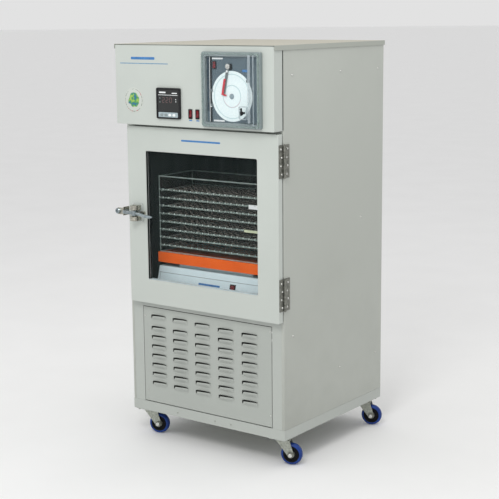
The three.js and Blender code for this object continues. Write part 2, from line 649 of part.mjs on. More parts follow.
function agitatorCrank() {
  const { y, radius } = CRANK;
  const z = AGITATOR.top;
  const disc = bar([0, y, z + 1.2], [0, y, z + 6.2], radius, 28);
  const throwPin = bar([CRANK.throw, y, z + 5], [CRANK.throw, y, z + 11], 3.5, 12);
  return cut(join(disc, throwPin), bar([0, y, z], [0, y, z + 4.2], 4.4, 16));
}

// The shuttle platform, an upturned shallow tray that carries the rack and glides on the housing's rails.
function agitatorPlatform() {
  const { half, bottom, top, front, back } = PLATFORM;
  const pan = cut(
    box(-half, half, front, back, bottom, top),
    box(-half + 2.5, half - 2.5, front + 2.5, back - 2.5, bottom - 1, top - 2.5),
  );
  const glides = [];
  for (const y of RAILS.ys) {
    for (const x of [-RAILS.glideX, RAILS.glideX]) {
      const g = RAILS.glide / 2;
      glides.push(box(x - g, x + g, y - RAILS.width / 2, y + RAILS.width / 2, RAILS.top + GAP, top - 1));
    }
  }
  return join(pan, ...glides);
}

const trayBottom = (i) => TRAYS.first + i * TRAYS.pitch;

// The clear cage: two sides with ledges under each tray, a floor, a roof and a back rail.
function bagRack() {
  const { half, bottom, top, front, back, wall } = RACK;
  const parts = [
    box(-half, -half + wall, front, back, bottom, top),
    box(half - wall, half, front, back, bottom, top),
    box(-half, half, front, back, top - wall, top),
    box(-half, half, front, back, bottom, bottom + wall),
    box(-half, half, back - wall, back, bottom, top),
  ];
  for (let i = 0; i < TRAYS.count; i += 1) {
    const z = trayBottom(i) - GAP;
    for (const s of [-1, 1]) {
      const [a, b] = [s * (half - wall + 0.5), s * (half - wall - 6)];
      parts.push(box(Math.min(a, b), Math.max(a, b), front + 6, back - 1, z - 3, z));
    }
  }
  return join(...parts);
}

// One sliding tray: a thin floor with an upstand all round.
function bagTray(i) {
  const { floor, lip, wall, side } = TRAYS;
  const x = RACK.half - RACK.wall - 0.8;
  const [y0, y1] = [RACK.front - 1.5, RACK.back - RACK.wall - 1];
  const z = trayBottom(i);
  return cut(
    box(-x, x, y0, y1, z, z + lip),
    box(-x + side, x - side, y0 + wall, y1 - wall, z + floor, z + lip + 1),
  );
}

// ---- castors -----------------------------------------------------------------------------------------------
// Each castor is built trailing along +x about its swivel line and turned to its place by its group.
function castorFork() {
  const { trail, wheel, tyre } = CASTOR;
  const top = BASE.under - 3 - GAP;
  const race = turned([[0, top - 8], [23, top - 8], [25, top - 5], [25, top - 3], [20, top], [0, top]], 0, 0, 24);
  const bridge = box(-20, 24, -tyre / 2 - 4.5, tyre / 2 + 4.5, top - 11, top - 7.5);
  const leg = new THREE.Shape();
  leg.moveTo(-20, top - 8);
  leg.lineTo(24, top - 8);
  leg.lineTo(trail + 9, wheel + 6);
  leg.absarc(trail, wheel, 10.5, 0.6, -2.4, true);
  leg.closePath();
  const legs = [-1, 1].map((s) => {
    const y = s * (tyre / 2 + 3);
    return frontPlate(leg, y - 1.25, y + 1.25, 5);
  });
  const axle = bar([trail, -tyre / 2 - 7, wheel], [trail, tyre / 2 + 7, wheel], 4, 16);
  const heads = [-1, 1].map((s) => {
    const y = s * (tyre / 2 + 4);
    return bar([trail, y, wheel], [trail, y + s * 5, wheel], 6.5, 6);
  });
  return join(race, bridge, ...legs, axle, ...heads);
}

// Tyre, core and hub as one turning piece, crowned at the tread and dished at both sides.
function castorWheel() {
  const { trail, wheel: r, tyre } = CASTOR;
  const w = tyre / 2;
  const bore = 4.4;
  const profile = [
    [bore, -w - 0.8], [11, -w - 0.8], [12, -w + 3], [r - 12, -w + 3], [r - 10, -w], [r - 4, -w],
    [r, -w / 2], [r, w / 2], [r - 4, w], [r - 10, w], [r - 12, w - 3], [12, w - 3], [11, w + 0.8],
    [bore, w + 0.8], [bore, -w - 0.8],
  ].map(([a, b]) => new THREE.Vector2(a, b));
  return solid(new THREE.LatheGeometry(profile, 24).translate(trail, 0, r));
}

function addCastors() {
  const turn = THREE.MathUtils.degToRad(CASTOR.angle);
  for (const { name, x, y } of castorAxes()) {
    const castor = new THREE.Group();
    castor.position.set(x, y, 0);
    castor.rotation.z = turn;
    place(`castor_fork_${name}`, castorFork(), "zinc", castor);
    place(`castor_wheel_${name}`, castorWheel(), "blue_tyre", castor);
    cabinet.add(castor);
  }
}

// ---- all pieces --------------------------------------------------------------------------------------------
place("base_frame", baseFrame(), "grey_paint");
place("side_panel_left", sidePanel(-1), "grey_paint");
place("side_panel_right", sidePanel(1), "grey_paint");
place("back_panel", backPanel(), "grey_paint");
place("top_cover", topCover(), "grey_paint");
place("face_frame", faceFrame(), "grey_paint");
place("louvre_panel", louvrePanel(), "grey_paint");
place("machine_deck", machineDeck(), "zinc");
place("chamber_liner", chamberLiner(), "stainless");
place("insulation", insulation(), "foam");
place("evaporator_cover", evaporatorCover(), "stainless");
place("circulation_fan", circulationFan(), "black");
place("compressor", compressor(), "black");
place("condenser", condenser(), "zinc");
place("condenser_fan", condenserFan(), "zinc");
place("mains_inlet", mainsInlet(), "black");
place("door_shell", doorShell(), "grey_paint");
place("door_core", doorCore(), "grey_paint");
place("door_glass", doorGlass(), "clear");
place("door_gasket", doorGasket(), "black");
for (const [level, middle] of Object.entries(HINGE.middles)) {
  place(`hinge_leaf_casing_${level}`, hingeLeaf(1, middle), "nickel");
  place(`hinge_leaf_door_${level}`, hingeLeaf(-1, middle), "nickel");
}
place("latch_body", latchBody(), "nickel");
place("latch_lever", latchLever(), "nickel");
place("strike_bracket", strikeBracket(), "nickel");
place("control_fascia", controlFascia(), "grey_paint");
place("temperature_controller", temperatureController(), "black");
for (const [side, x] of Object.entries(ROCKERS.xs)) {
  place(`switch_housing_${side}`, switchHousing(x), "black");
  place(`switch_rocker_${side}`, switchRocker(x), "red");
}
place("recorder_case", recorderCase(), "grey_plastic");
place("recorder_door", recorderDoor(), "clear");
place("recorder_knob", recorderKnob(), "black");
place("chart_disc", chartDisc(), "paper");
place("pen_arm", penArm(), "black");
place("agitator_base", agitatorBase(), "pale_blue");
place("agitator_motor", agitatorMotor(), "black");
place("agitator_crank", agitatorCrank(), "zinc");
place("agitator_rocker", agitatorRocker(), "red");
place("agitator_platform", agitatorPlatform(), "orange");
place("bag_rack", bagRack(), "clear");
for (let i = 0; i < TRAYS.count; i += 1) place(`bag_tray_${i + 1}`, bagTray(i), "clear");
addCastors();

// The origin goes to the middle of the footprint, on the floor.
const extent = new THREE.Box3().setFromObject(cabinet);
const centre = extent.getCenter(new THREE.Vector3());
cabinet.position.set(-centre.x, -centre.y, 0);

export default cabinet;
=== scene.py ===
import json
import math

import bmesh
import bpy
from mathutils import Matrix, Vector


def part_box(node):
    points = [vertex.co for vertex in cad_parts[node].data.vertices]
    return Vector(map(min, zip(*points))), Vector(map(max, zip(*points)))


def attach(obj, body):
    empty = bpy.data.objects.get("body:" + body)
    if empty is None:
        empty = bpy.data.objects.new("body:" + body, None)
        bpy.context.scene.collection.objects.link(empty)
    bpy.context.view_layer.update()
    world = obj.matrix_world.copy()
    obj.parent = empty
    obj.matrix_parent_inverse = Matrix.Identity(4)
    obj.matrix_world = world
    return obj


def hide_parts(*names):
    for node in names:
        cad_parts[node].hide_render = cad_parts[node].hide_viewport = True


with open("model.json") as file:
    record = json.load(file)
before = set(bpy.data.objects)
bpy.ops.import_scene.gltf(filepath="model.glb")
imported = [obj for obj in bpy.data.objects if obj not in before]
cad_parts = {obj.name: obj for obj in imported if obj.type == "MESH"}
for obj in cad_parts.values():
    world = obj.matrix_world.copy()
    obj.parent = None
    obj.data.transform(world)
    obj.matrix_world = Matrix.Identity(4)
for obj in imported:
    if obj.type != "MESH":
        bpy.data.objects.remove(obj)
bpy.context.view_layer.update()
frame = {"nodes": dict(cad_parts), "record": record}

BODIES = frame["record"]["behaviour"]["bodies"]
BODY_OF = {node: body for body, nodes in BODIES.items() for node in nodes}

# The working frame is in millimetres: x = 0 at mid width, y = 0 on the casing's front plane and z = 0 on the
# floor. The front looks towards -y.
MM = 0.001
BASE_LOW, BASE_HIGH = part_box("base_frame")
MID_X = (BASE_LOW.x + BASE_HIGH.x) / 2
FRONT_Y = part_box("face_frame")[0].y
FORWARD = (0, -1, 0)

# Camera, light and floor.
CAMERA_AT = (2494.5, -3124.6, 1411.3)
CAMERA_YAW, CAMERA_PITCH, CAMERA_ROLL = 36.52, -10.58, -0.54
CAMERA_LENS, SENSOR = 92.70, 36.0
WORLD_STRENGTH = 0.76
FLOOR_HALF = 150.0
LIGHTS = (
    # name, place and target in metres, size, power, colour
    ("key", (1.0, -2.6, 2.9), (0, 0, 1.0), (1.1, 1.1), 38, (1.0, 1.0, 0.985)),
    ("fill", (-2.6, -2.6, 2.3), (0, 0, 0.9), (2.0, 2.0), 7, (0.94, 0.985, 1.0)),
    ("top", (0.2, 0.5, 3.6), (0, 0, 0), (2.4, 2.4), 10, (1.0, 0.97, 0.90)),
)

# Casing. Screws are given as (y, z) on the sides and (x, z) on the front.
HALF_WIDTH, DEPTH = 310, 577
SIDE_SCREWS = ((315, 1219), (440, 740), (45.5, 420), (315, 260), (540, 1219), (540, 260), (45.5, 1219))
LOUVRE_X = (-193.6, -102.7, -10.5, 83.5, 177.5)
# How far the top louvre of each column sits above the even pitch.
LOUVRE_TOP_SHIFT = (7.5, 7.5, 5.0, 1.0, -1.5)
LOUVRE_ROWS, LOUVRE_LAST, LOUVRE_PITCH = 8, 200.0, 31.3
LOUVRE_WIDTH, LOUVRE_HEIGHT, LOUVRE_DEPTH = 63.0, 20.0, 8.6
LOUVRE_MARGIN = 2.0
# The gap between a hood's lip and the sheet: how wide, how high, and over what share of the left side.
MOUTH_WIDTH, MOUTH_HEIGHT, MOUTH_DROP = 6.4, 3.6, 0.6
# Mesh steps over one hood.
ACROSS, DOWN = 20, 8
LOUVRE_SCREWS = ((-251, 419), (-247, 163), (257.6, 166), (257, 436))
RIVET_X, RIVET_Z = (36, 100, -120), 106.5
CASTOR_SIDES = (("left", -272), ("right", 272))
CASTOR_ENDS = (("front", 46), ("rear", 531))
PLATE_BOLTS, PLATE_Z = ((-25, -33), (25, -33), (-25, 33), (25, 33)), 89

# Door.
DOOR_FRONT = -26.0
WINDOW = (-210.3, 230.7, 550.2, 969.8)
HINGE_FACE = 312.3
LATCH = (-247.0, -45.0, 768.0)
STRIKE = (-333, -28, 766)

# Control fascia. A figure's segments are x0, x1, z0, z1 as shares of its width and height.
FASCIA_FRONT = -46.7
CASE_BACK = FASCIA_FRONT - 0.3
CONTROLLER = (-89.6, 1126.6)
CONTROLLER_PARTS = (
    # x0, x1, z0, z1 about its middle, corner radius, front and back before the plate, material
    (-42, 42, -26, 42, 2, 0.8, 0, 0),
    (-40, 38, -43, -27.5, 2, 0.9, 0, 1),
    (-40, 38, 25.2, 26.6, 0.6, 1.0, 0.7, 2),
    (-36, -10, 31.5, 36, 1.5, 1.0, 0.7, 2),
    (15, 36, 30.5, 33.5, 1.2, 1.0, 0.7, 2),
)
SEGMENTS = {
    "a": (0.15, 0.85, 1.86, 2.0), "g": (0.15, 0.85, 0.93, 1.07), "d": (0.15, 0.85, 0.0, 0.14),
    "f": (0.0, 0.14, 1.07, 1.86), "b": (0.86, 1.0, 1.07, 1.86), "e": (0.0, 0.14, 0.14, 0.93),
    "c": (0.86, 1.0, 0.14, 0.93),
}
FIGURES = ("abged", "abged", "abcdef")
DIGIT_WIDTH, DIGIT_HEIGHT, DIGIT_PITCH = 9.5, 8.2, 14.5
KEY_PITCH = 16.5
SWITCH_X = (-5, 22.7)
LABEL_X, LABEL_Z, LABEL_RADIUS, LABEL_THICK = -235.9, 1131.9, 40, 0.35

# Chart recorder. The clips are given as angle and radius about the chart.
CHART = (157.7, 1156.0)
PEN_PIVOT, PEN_TIP = (145.5, 1244.8), (128.7, 1159.0)
KNOB = (214.0, 1110.0)
RECORDER_TRIM = (
    # x0, x1, z0, z1, corner radius, how proud of the plate, material
    (64.5, 72.5, 1110, 1272, 1, 2.2, 6),
    (76.5, 82.5, 1077, 1273, 1, 3.2, 1),
    (73.5, 75.5, 1077, 1273, 0.8, 2.0, 3),
    (196, 219, 1229, 1236, 1.5, 1.2, 7),
    (84, 124, 1265.5, 1270.5, 1, 1.8, 3),
    (88, 129, 1078.8, 1084, 1, 1.8, 3),
    (85.5, 100, 1236, 1261, 2, 2.6, 1),
    (88, 97.5, 1239, 1258, 2, 4.0, 4),
)
CHART_CLIPS = ((38, 76), (168, 78), (200, 80))
COVER_BANDS = ((229, 239, 1080, 1280, 2), (248, 252, 1072, 1280, 1))

# Agitator. Lines on the drive case are x0, x1, z0, z1, how proud, material. A tray's tag is x0, x1, z0, z1,
# material, with its heights above the tray's floor.
HOUSING_TOE, HOUSING_TOP_Y, HOUSING_FOOT_Z, HOUSING_FOLD_Z = 14.0, 36.0, 496.3, 569.0
DRIVE_LINES = ((-214, 214, 564.2, 565.4, 0.15, 0), (-209.6, -208.6, 500, 564.2, 0.15, 0),
               (-46, 40, 541, 548, 0.2, 1))
SWITCH_FRAME = ((79.7, 84.6, 534, 556), (97.4, 102.3, 534, 556), (79.7, 102.3, 532.4, 536.4),
                (79.7, 102.3, 553.6, 557.6))
TRAY_COUNT = 8
HOLE_PITCH = 23.0
HOLE_RADIUS = 6.2
HOLE_SIDES, HOLE_SLOT = 8, 5
TAGS = {7: (150, 196, -6, 7.5, 3), 4: (132, 190, -2, 6, 4)}

# Castors. A wheel's axle stands off its swivel by the trail, turned by the angle in degrees.
TRAIL, TRAIL_ANGLE, WHEEL_R, WHEEL_W = 28.0, 20.0, 35.0, 24.0

# Which two coordinates lie across an axis, and which one along it.
AXES = {"x": (1, 2, 0), "y": (0, 2, 1), "z": (0, 1, 2)}


def at(x, y, z):
    return Vector((MID_X + x * MM, FRONT_Y + y * MM, z * MM))


def extent(node):
    """A CAD node's box in the working frame: x0, x1, y0, y1, z0, z1."""
    low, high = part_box(node)
    return (
        (low.x - MID_X) / MM, (high.x - MID_X) / MM,
        (low.y - FRONT_Y) / MM, (high.y - FRONT_Y) / MM,
        low.z / MM, high.z / MM,
    )


# ---- camera, light and floor ----------------------------------------
def make_camera():
    yaw, pitch, roll = (math.radians(a) for a in (CAMERA_YAW, CAMERA_PITCH, CAMERA_ROLL))
    ahead = Vector((-math.sin(yaw) * math.cos(pitch), math.cos(yaw) * math.cos(pitch), math.sin(pitch)))
    right = Vector((math.cos(yaw), math.sin(yaw), 0))
    up = right.cross(ahead)
    right, up = (
        math.cos(roll) * right + math.sin(roll) * up,
        math.cos(roll) * up - math.sin(roll) * right,
    )
    camera = bpy.data.cameras.new("camera")
    camera.lens = CAMERA_LENS
    camera.sensor_width = SENSOR
    camera.clip_end = 100
    holder = bpy.data.objects.new("camera", camera)
    bpy.context.scene.collection.objects.link(holder)
    turn = Matrix((right, up, -ahead)).transposed().to_4x4()
    holder.matrix_world = Matrix.Translation(at(*CAMERA_AT)) @ turn
    bpy.context.scene.camera = holder


def area_light(name, place, target, size, power, colour):
    light = bpy.data.lights.new(name, "AREA")
    light.shape = "RECTANGLE"
    light.size, light.size_y = size
    light.energy = power
    light.color = colour
    holder = bpy.data.objects.new(name, light)
    bpy.context.scene.collection.objects.link(holder)
    aim = (Vector(target) - Vector(place)).to_track_quat("-Z", "Y")
    holder.matrix_world = Matrix.Translation(Vector(place)) @ aim.to_matrix().to_4x4()


def make_studio():
    scene = bpy.context.scene
    scene.view_settings.view_transform = "Standard"
    world = bpy.data.worlds.new("studio")
    world.use_nodes = True
    sky = world.node_tree.nodes["Background"]
    sky.inputs["Color"].default_value = (1.0, 1.0, 1.0, 1)
    sky.inputs["Strength"].default_value = WORLD_STRENGTH
    scene.world = world
    for light in LIGHTS:
        area_light(*light)
    bm = bmesh.new()
    bmesh.ops.create_grid(bm, x_segments=8, y_segments=8, size=FLOOR_HALF)
    floor = bpy.data.objects.new("floor", bpy.data.meshes.new("floor"))
    bm.to_mesh(floor.data)
    bm.free()
    scene.collection.objects.link(floor)
    floor.data.materials.append(speckled("studio_floor", (0.93, 0.93, 0.93), (0.95, 0.95, 0.95),
                                         (0.8, 0.9), 3, bump=0.0, specular=0.1))


# ---- materials ------------------------------------------------------
def nodes_of(name):
    material = bpy.data.materials.new(name)
    material.use_nodes = True
    tree = material.node_tree
    return material, tree, tree.nodes["Principled BSDF"]


def add(tree, kind, **values):
    node = tree.nodes.new(kind)
    for key, value in values.items():
        if key in node.inputs:
            node.inputs[key].default_value = value
        else:
            setattr(node, key, value)
    return node


def feed(tree, socket, value):
    """Links a socket to another one, or gives it a plain value."""
    if isinstance(value, bpy.types.NodeSocket):
        tree.links.new(value, socket)
    else:
        socket.default_value = value


def result(tree, kind, operation, values, output):
    node = add(tree, kind, operation=operation)
    for socket, value in zip(node.inputs, values):
        feed(tree, socket, value)
    return node.outputs[output]


def math_of(tree, operation, *values):
    """What a Math node makes of its values, each a socket or a plain number."""
    return result(tree, "ShaderNodeMath", operation, values, "Value")


def vector_math(tree, operation, *values, output="Vector"):
    """The same for a Vector Math node."""
    return result(tree, "ShaderNodeVectorMath", operation, values, output)


def split(tree, value):
    """A vector's X, Y and Z sockets."""
    node = add(tree, "ShaderNodeSeparateXYZ")
    tree.links.new(value, node.inputs[0])
    return node.outputs


def place_of(tree):
    return add(tree, "ShaderNodeTexCoord").outputs["Object"]


def coordinates(tree, stretch=(1, 1, 1)):
    mapping = add(tree, "ShaderNodeMapping")
    mapping.inputs["Scale"].default_value = stretch
    tree.links.new(place_of(tree), mapping.inputs["Vector"])
    return mapping.outputs["Vector"]


def noise_of(tree, vector, scale, detail=3.0, rough=0.55):
    texture = add(tree, "ShaderNodeTexNoise", Scale=scale, Detail=detail, Roughness=rough)
    tree.links.new(vector, texture.inputs["Vector"])
    return texture.outputs["Fac"]


def ramp(tree, value, stops):
    """Colour stops [(position, rgb), ...] over a value socket."""
    node = add(tree, "ShaderNodeValToRGB")
    tree.links.new(value, node.inputs["Fac"])
    elements = node.color_ramp.elements
    for i, (position, rgb) in enumerate(stops):
        element = elements[i] if i < 2 else elements.new(position)
        element.position = position
        element.color = (*rgb, 1)
    return node.outputs["Color"]


def spread(tree, value, low, high, from_low=0.3, from_high=0.7):
    node = add(tree, "ShaderNodeMapRange")
    node.inputs["From Min"].default_value = from_low
    node.inputs["From Max"].default_value = from_high
    node.inputs["To Min"].default_value = low
    node.inputs["To Max"].default_value = high
    tree.links.new(value, node.inputs["Value"])
    return node.outputs["Result"]


def mixed(tree, factor, a, b, blend="MIX"):
    """Mixes two colours, each a socket or an rgb tuple, by a factor socket or number."""
    node = add(tree, "ShaderNodeMix", data_type="RGBA", blend_type=blend)
    sockets = [s for s in node.inputs if s.type == "RGBA"]
    for socket, value in zip(sockets, (a, b)):
        feed(tree, socket, (*value, 1) if isinstance(value, tuple) else value)
    feed(tree, node.inputs[0], factor)
    return [s for s in node.outputs if s.type == "RGBA"][0]


def bumped(tree, shader, value, strength, distance=0.0006):
    node = add(tree, "ShaderNodeBump")
    node.inputs["Strength"].default_value = strength
    node.inputs["Distance"].default_value = distance
    tree.links.new(value, node.inputs["Height"])
    tree.links.new(node.outputs["Normal"], shader.inputs["Normal"])


def scaled(colour, share):
    return tuple(c * share for c in colour)


def speckled(name, dark, light, rough, scale, metallic=0.0, fine=600, bump=0.05, stretch=(1, 1, 1),
             alpha=None, coat=0.0, specular=0.5):
    """The common finish: broad colour variation between two tones, uneven gloss and a fine surface grain."""
    material, tree, shader = nodes_of(name)
    vector = coordinates(tree, stretch)
    broad = noise_of(tree, vector, scale)
    grain = noise_of(tree, vector, fine, 2.0)
    colour = ramp(tree, broad, [(0.3, dark), (0.7, light)])
    specks = ramp(tree, grain, [(0.35, (0.25, 0.25, 0.25)), (0.65, (1, 1, 1))])
    tree.links.new(mixed(tree, 0.08, colour, specks, "MULTIPLY"), shader.inputs["Base Color"])
    tree.links.new(spread(tree, broad, *rough), shader.inputs["Roughness"])
    shader.inputs["Metallic"].default_value = metallic
    shader.inputs["Specular IOR Level"].default_value = specular
    shader.inputs["Coat Weight"].default_value = coat
    if alpha is not None:
        shader.inputs["Alpha"].default_value = alpha
    if bump:
        bumped(tree, shader, grain, bump)
    return material


def cabinet_paint(name, colour, grime_and_shade, fade=(0.05, 0.75)):
    """Powder coat: orange peel, faint cloudiness, rubbed-in scuffs, and grime with painted shade that
    thickens towards the floor.
    """
    material, tree, shader = nodes_of(name)
    vector = coordinates(tree)
    cloud = noise_of(tree, vector, 4.5, 4.0)
    scratches = noise_of(tree, coordinates(tree, (9, 9, 60)), 9, 6.0, 0.7)
    body = ramp(tree, cloud, [(0.3, scaled(colour, 0.955)), (0.7, scaled(colour, 1.02))])
    # Darkening towards the floor: light grime on the door and fascia paint; on the side sheets it is mostly
    # painted shade.
    low = spread(tree, split(tree, vector)["Z"], 1.0, 0.0, *fade)
    floor_darkening_mask = math_of(tree, "MULTIPLY", low, spread(tree, cloud, 0.4, 1.0))
    floor_darkened = mixed(tree, math_of(tree, "MULTIPLY", floor_darkening_mask, grime_and_shade), body, (0.30, 0.31, 0.28))
    rubbed = spread(tree, scratches, 0.0, 0.0875, 0.62, 0.75)
    tree.links.new(mixed(tree, rubbed, floor_darkened, scaled(colour, 0.72)), shader.inputs["Base Color"])
    tree.links.new(spread(tree, cloud, 0.34, 0.46), shader.inputs["Roughness"])
    bumped(tree, shader, noise_of(tree, vector, 520, 2.0), 0.10, 0.0004)
    return material


def lid_paint(name, side, top):
    """Cabinet paint: on upright faces a darker copy of the side grey, painted shade, and a warmer, paler tone
    where it faces up.
    """
    material, tree, shader = nodes_of(name)
    vector = coordinates(tree)
    cloud = noise_of(tree, vector, 6, 5.0)
    facing = split(tree, add(tree, "ShaderNodeTexCoord").outputs["Normal"])
    up = spread(tree, facing["Z"], 0.0, 1.0, 0.3, 0.9)
    flat = ramp(tree, cloud, [(0.3, scaled(top, 0.95)), (0.7, top)])
    upright = ramp(tree, cloud, [(0.3, scaled(side, 0.96)), (0.7, side)])
    tree.links.new(mixed(tree, up, upright, flat), shader.inputs["Base Color"])
    tree.links.new(spread(tree, cloud, 0.42, 0.6), shader.inputs["Roughness"])
    bumped(tree, shader, noise_of(tree, vector, 480, 2.0), 0.10, 0.0004)
    return material


def chart_paper(name, centre):
    """Round chart: pale ground, faint printed rings and hour lines, and a thin red trace near the hub."""
    material, tree, shader = nodes_of(name)
    flat = vector_math(tree, "MULTIPLY", vector_math(tree, "SUBTRACT", place_of(tree), centre), (1, 0, 1))
    radius = vector_math(tree, "LENGTH", flat, output="Value")
    parts = split(tree, flat)
    angle = math_of(tree, "ARCTAN2", parts["Z"], parts["X"])
    rings = spread(tree, math_of(tree, "PINGPONG", radius, 0.0022), 0.32, 0.0, 0.0, 0.0007)
    bold = spread(tree, math_of(tree, "PINGPONG", radius, 0.0165), 0.75, 0.0, 0.0006, 0.0022)
    spokes = spread(tree, math_of(tree, "PINGPONG", angle, math.pi / 24), 0.28, 0.0, 0.0, 0.014)
    ink = math_of(tree, "MAXIMUM", math_of(tree, "MAXIMUM", rings, bold), spokes)
    clouds = noise_of(tree, coordinates(tree), 60)
    ground = ramp(tree, clouds, [(0.3, (0.84, 0.96, 0.98)), (0.7, (0.90, 1.0, 1.0))])
    printed = mixed(tree, ink, ground, (0.42, 0.62, 0.64))
    wobble = math_of(tree, "MULTIPLY_ADD", noise_of(tree, coordinates(tree), 45), 0.006, 0.0295)
    gap = math_of(tree, "ABSOLUTE", math_of(tree, "SUBTRACT", radius, wobble))
    trace = spread(tree, gap, 0.55, 0.0, 0.0002, 0.0011)
    below = spread(tree, parts["Z"], 1.0, 0.0, -0.012, -0.002)
    seen = math_of(tree, "MULTIPLY", trace, below)
    tree.links.new(mixed(tree, seen, printed, (0.85, 0.25, 0.35)), shader.inputs["Base Color"])
    shader.inputs["Roughness"].default_value = 0.75
    bumped(tree, shader, noise_of(tree, coordinates(tree), 1500, 2.0), 0.05, 0.0002)
    return material


def sticker(name, centre):
    """A plain round label: pale ground, a soft mottled green middle and a broken thin ring."""
    material, tree, shader = nodes_of(name)
    radius = vector_math(tree, "DISTANCE", place_of(tree), centre, output="Value")
    wavy = math_of(tree, "MULTIPLY_ADD", noise_of(tree, coordinates(tree), 70, 2.0), 0.014, radius)
    patches = noise_of(tree, coordinates(tree), 95, 2.0)
    greens = [(0.36, (0.03, 0.16, 0.30)), (0.46, (0.05, 0.28, 0.09)), (0.6, (0.33, 0.52, 0.10))]
    inside = spread(tree, wavy, 1.0, 0.0, 0.0285, 0.0305)
    on_ring = math_of(tree, "COMPARE", radius, 0.0352, 0.0011)
    pale = (0.565, 0.60, 0.555)
    broken = [(0.40, (0.40, 0.12, 0.12)), (0.46, pale), (0.52, (0.14, 0.17, 0.15)), (0.60, pale)]
    ground = mixed(tree, on_ring, pale, ramp(tree, patches, broken))
    tree.links.new(mixed(tree, inside, ground, ramp(tree, patches, greens)), shader.inputs["Base Color"])
    shader.inputs["Roughness"].default_value = 0.35
    return material


def paints():
    """Painted sheet and the door's lining."""
    return {
        "paint": cabinet_paint("cabinet_paint", (0.545, 0.583, 0.548), grime_and_shade=0.20, fade=(0.35, 0.9)),
        # Louvre panel and frames: darker copies of the cabinet grey, painted shade under the door and
        # fittings.
        "lower": cabinet_paint("lower_shaded_paint", (0.415, 0.442, 0.412), grime_and_shade=0.10),
        "frame": cabinet_paint("frame_shaded_paint", (0.452, 0.480, 0.450), grime_and_shade=0.10),
        # Side and back sheets: a darker copy of the cabinet grey, painted shade for faces turned from the
        # light, and heavy painted shade towards the floor.
        "side": cabinet_paint("side_shaded_paint", (0.505, 0.530, 0.487), grime_and_shade=0.74, fade=(0.0, 1.25)),
        # The lid: upright faces darker than the side sheets, painted shade; a warmer, paler tone on top.
        "lid": lid_paint("lid_paint", (0.425, 0.45, 0.405), (0.475, 0.455, 0.375)),
        "lining": speckled("door_lining", (0.60, 0.62, 0.61), (0.68, 0.70, 0.69), (0.35, 0.5), 8),
    }


def metals():
    """Plated, ground and stainless parts."""
    return {
        "zinc": speckled("zinc_plate", (0.27, 0.29, 0.25), (0.52, 0.54, 0.48), (0.28, 0.5), 170,
            metallic=0.75, fine=900, bump=0.2),
        "hinge": speckled("hinge_steel", (0.12, 0.125, 0.11), (0.30, 0.30, 0.265), (0.3, 0.55), 120,
            metallic=0.7, bump=0.2),
        "screw": speckled("screw_steel", (0.55, 0.56, 0.53), (0.80, 0.80, 0.77), (0.2, 0.4), 300,
            metallic=0.8),
        "latch": speckled("latch_plating", (0.26, 0.26, 0.22), (0.66, 0.64, 0.56), (0.14, 0.34), 130,
            metallic=0.95, bump=0.2),
        "foot": speckled("latch_foot", (0.46, 0.50, 0.48), (0.56, 0.60, 0.58), (0.3, 0.45), 60,
            metallic=0.2),
        "lever": speckled("lever_plating", (0.20, 0.25, 0.27), (0.42, 0.47, 0.49), (0.14, 0.3), 90,
            metallic=0.9, bump=0.08),
        "arm": speckled("pen_arm_metal", (0.13, 0.16, 0.165), (0.22, 0.25, 0.255), (0.3, 0.45), 130,
            metallic=0.4),
        # Chamber and evaporator stainless, far darker than its own tone: painted shade for the dim chamber.
        "stainless": speckled("shaded_chamber_steel", (0.040, 0.048, 0.046), (0.085, 0.098, 0.094), (0.28, 0.4), 3,
            metallic=0.55, fine=90, bump=0.03, stretch=(9, 9, 0.3)),
        "coil": speckled("fin_stack", (0.30, 0.31, 0.31), (0.52, 0.53, 0.53), (0.35, 0.5), 5, metallic=0.7,
            fine=160, bump=0.6, stretch=(20, 1, 0.3)),
    }


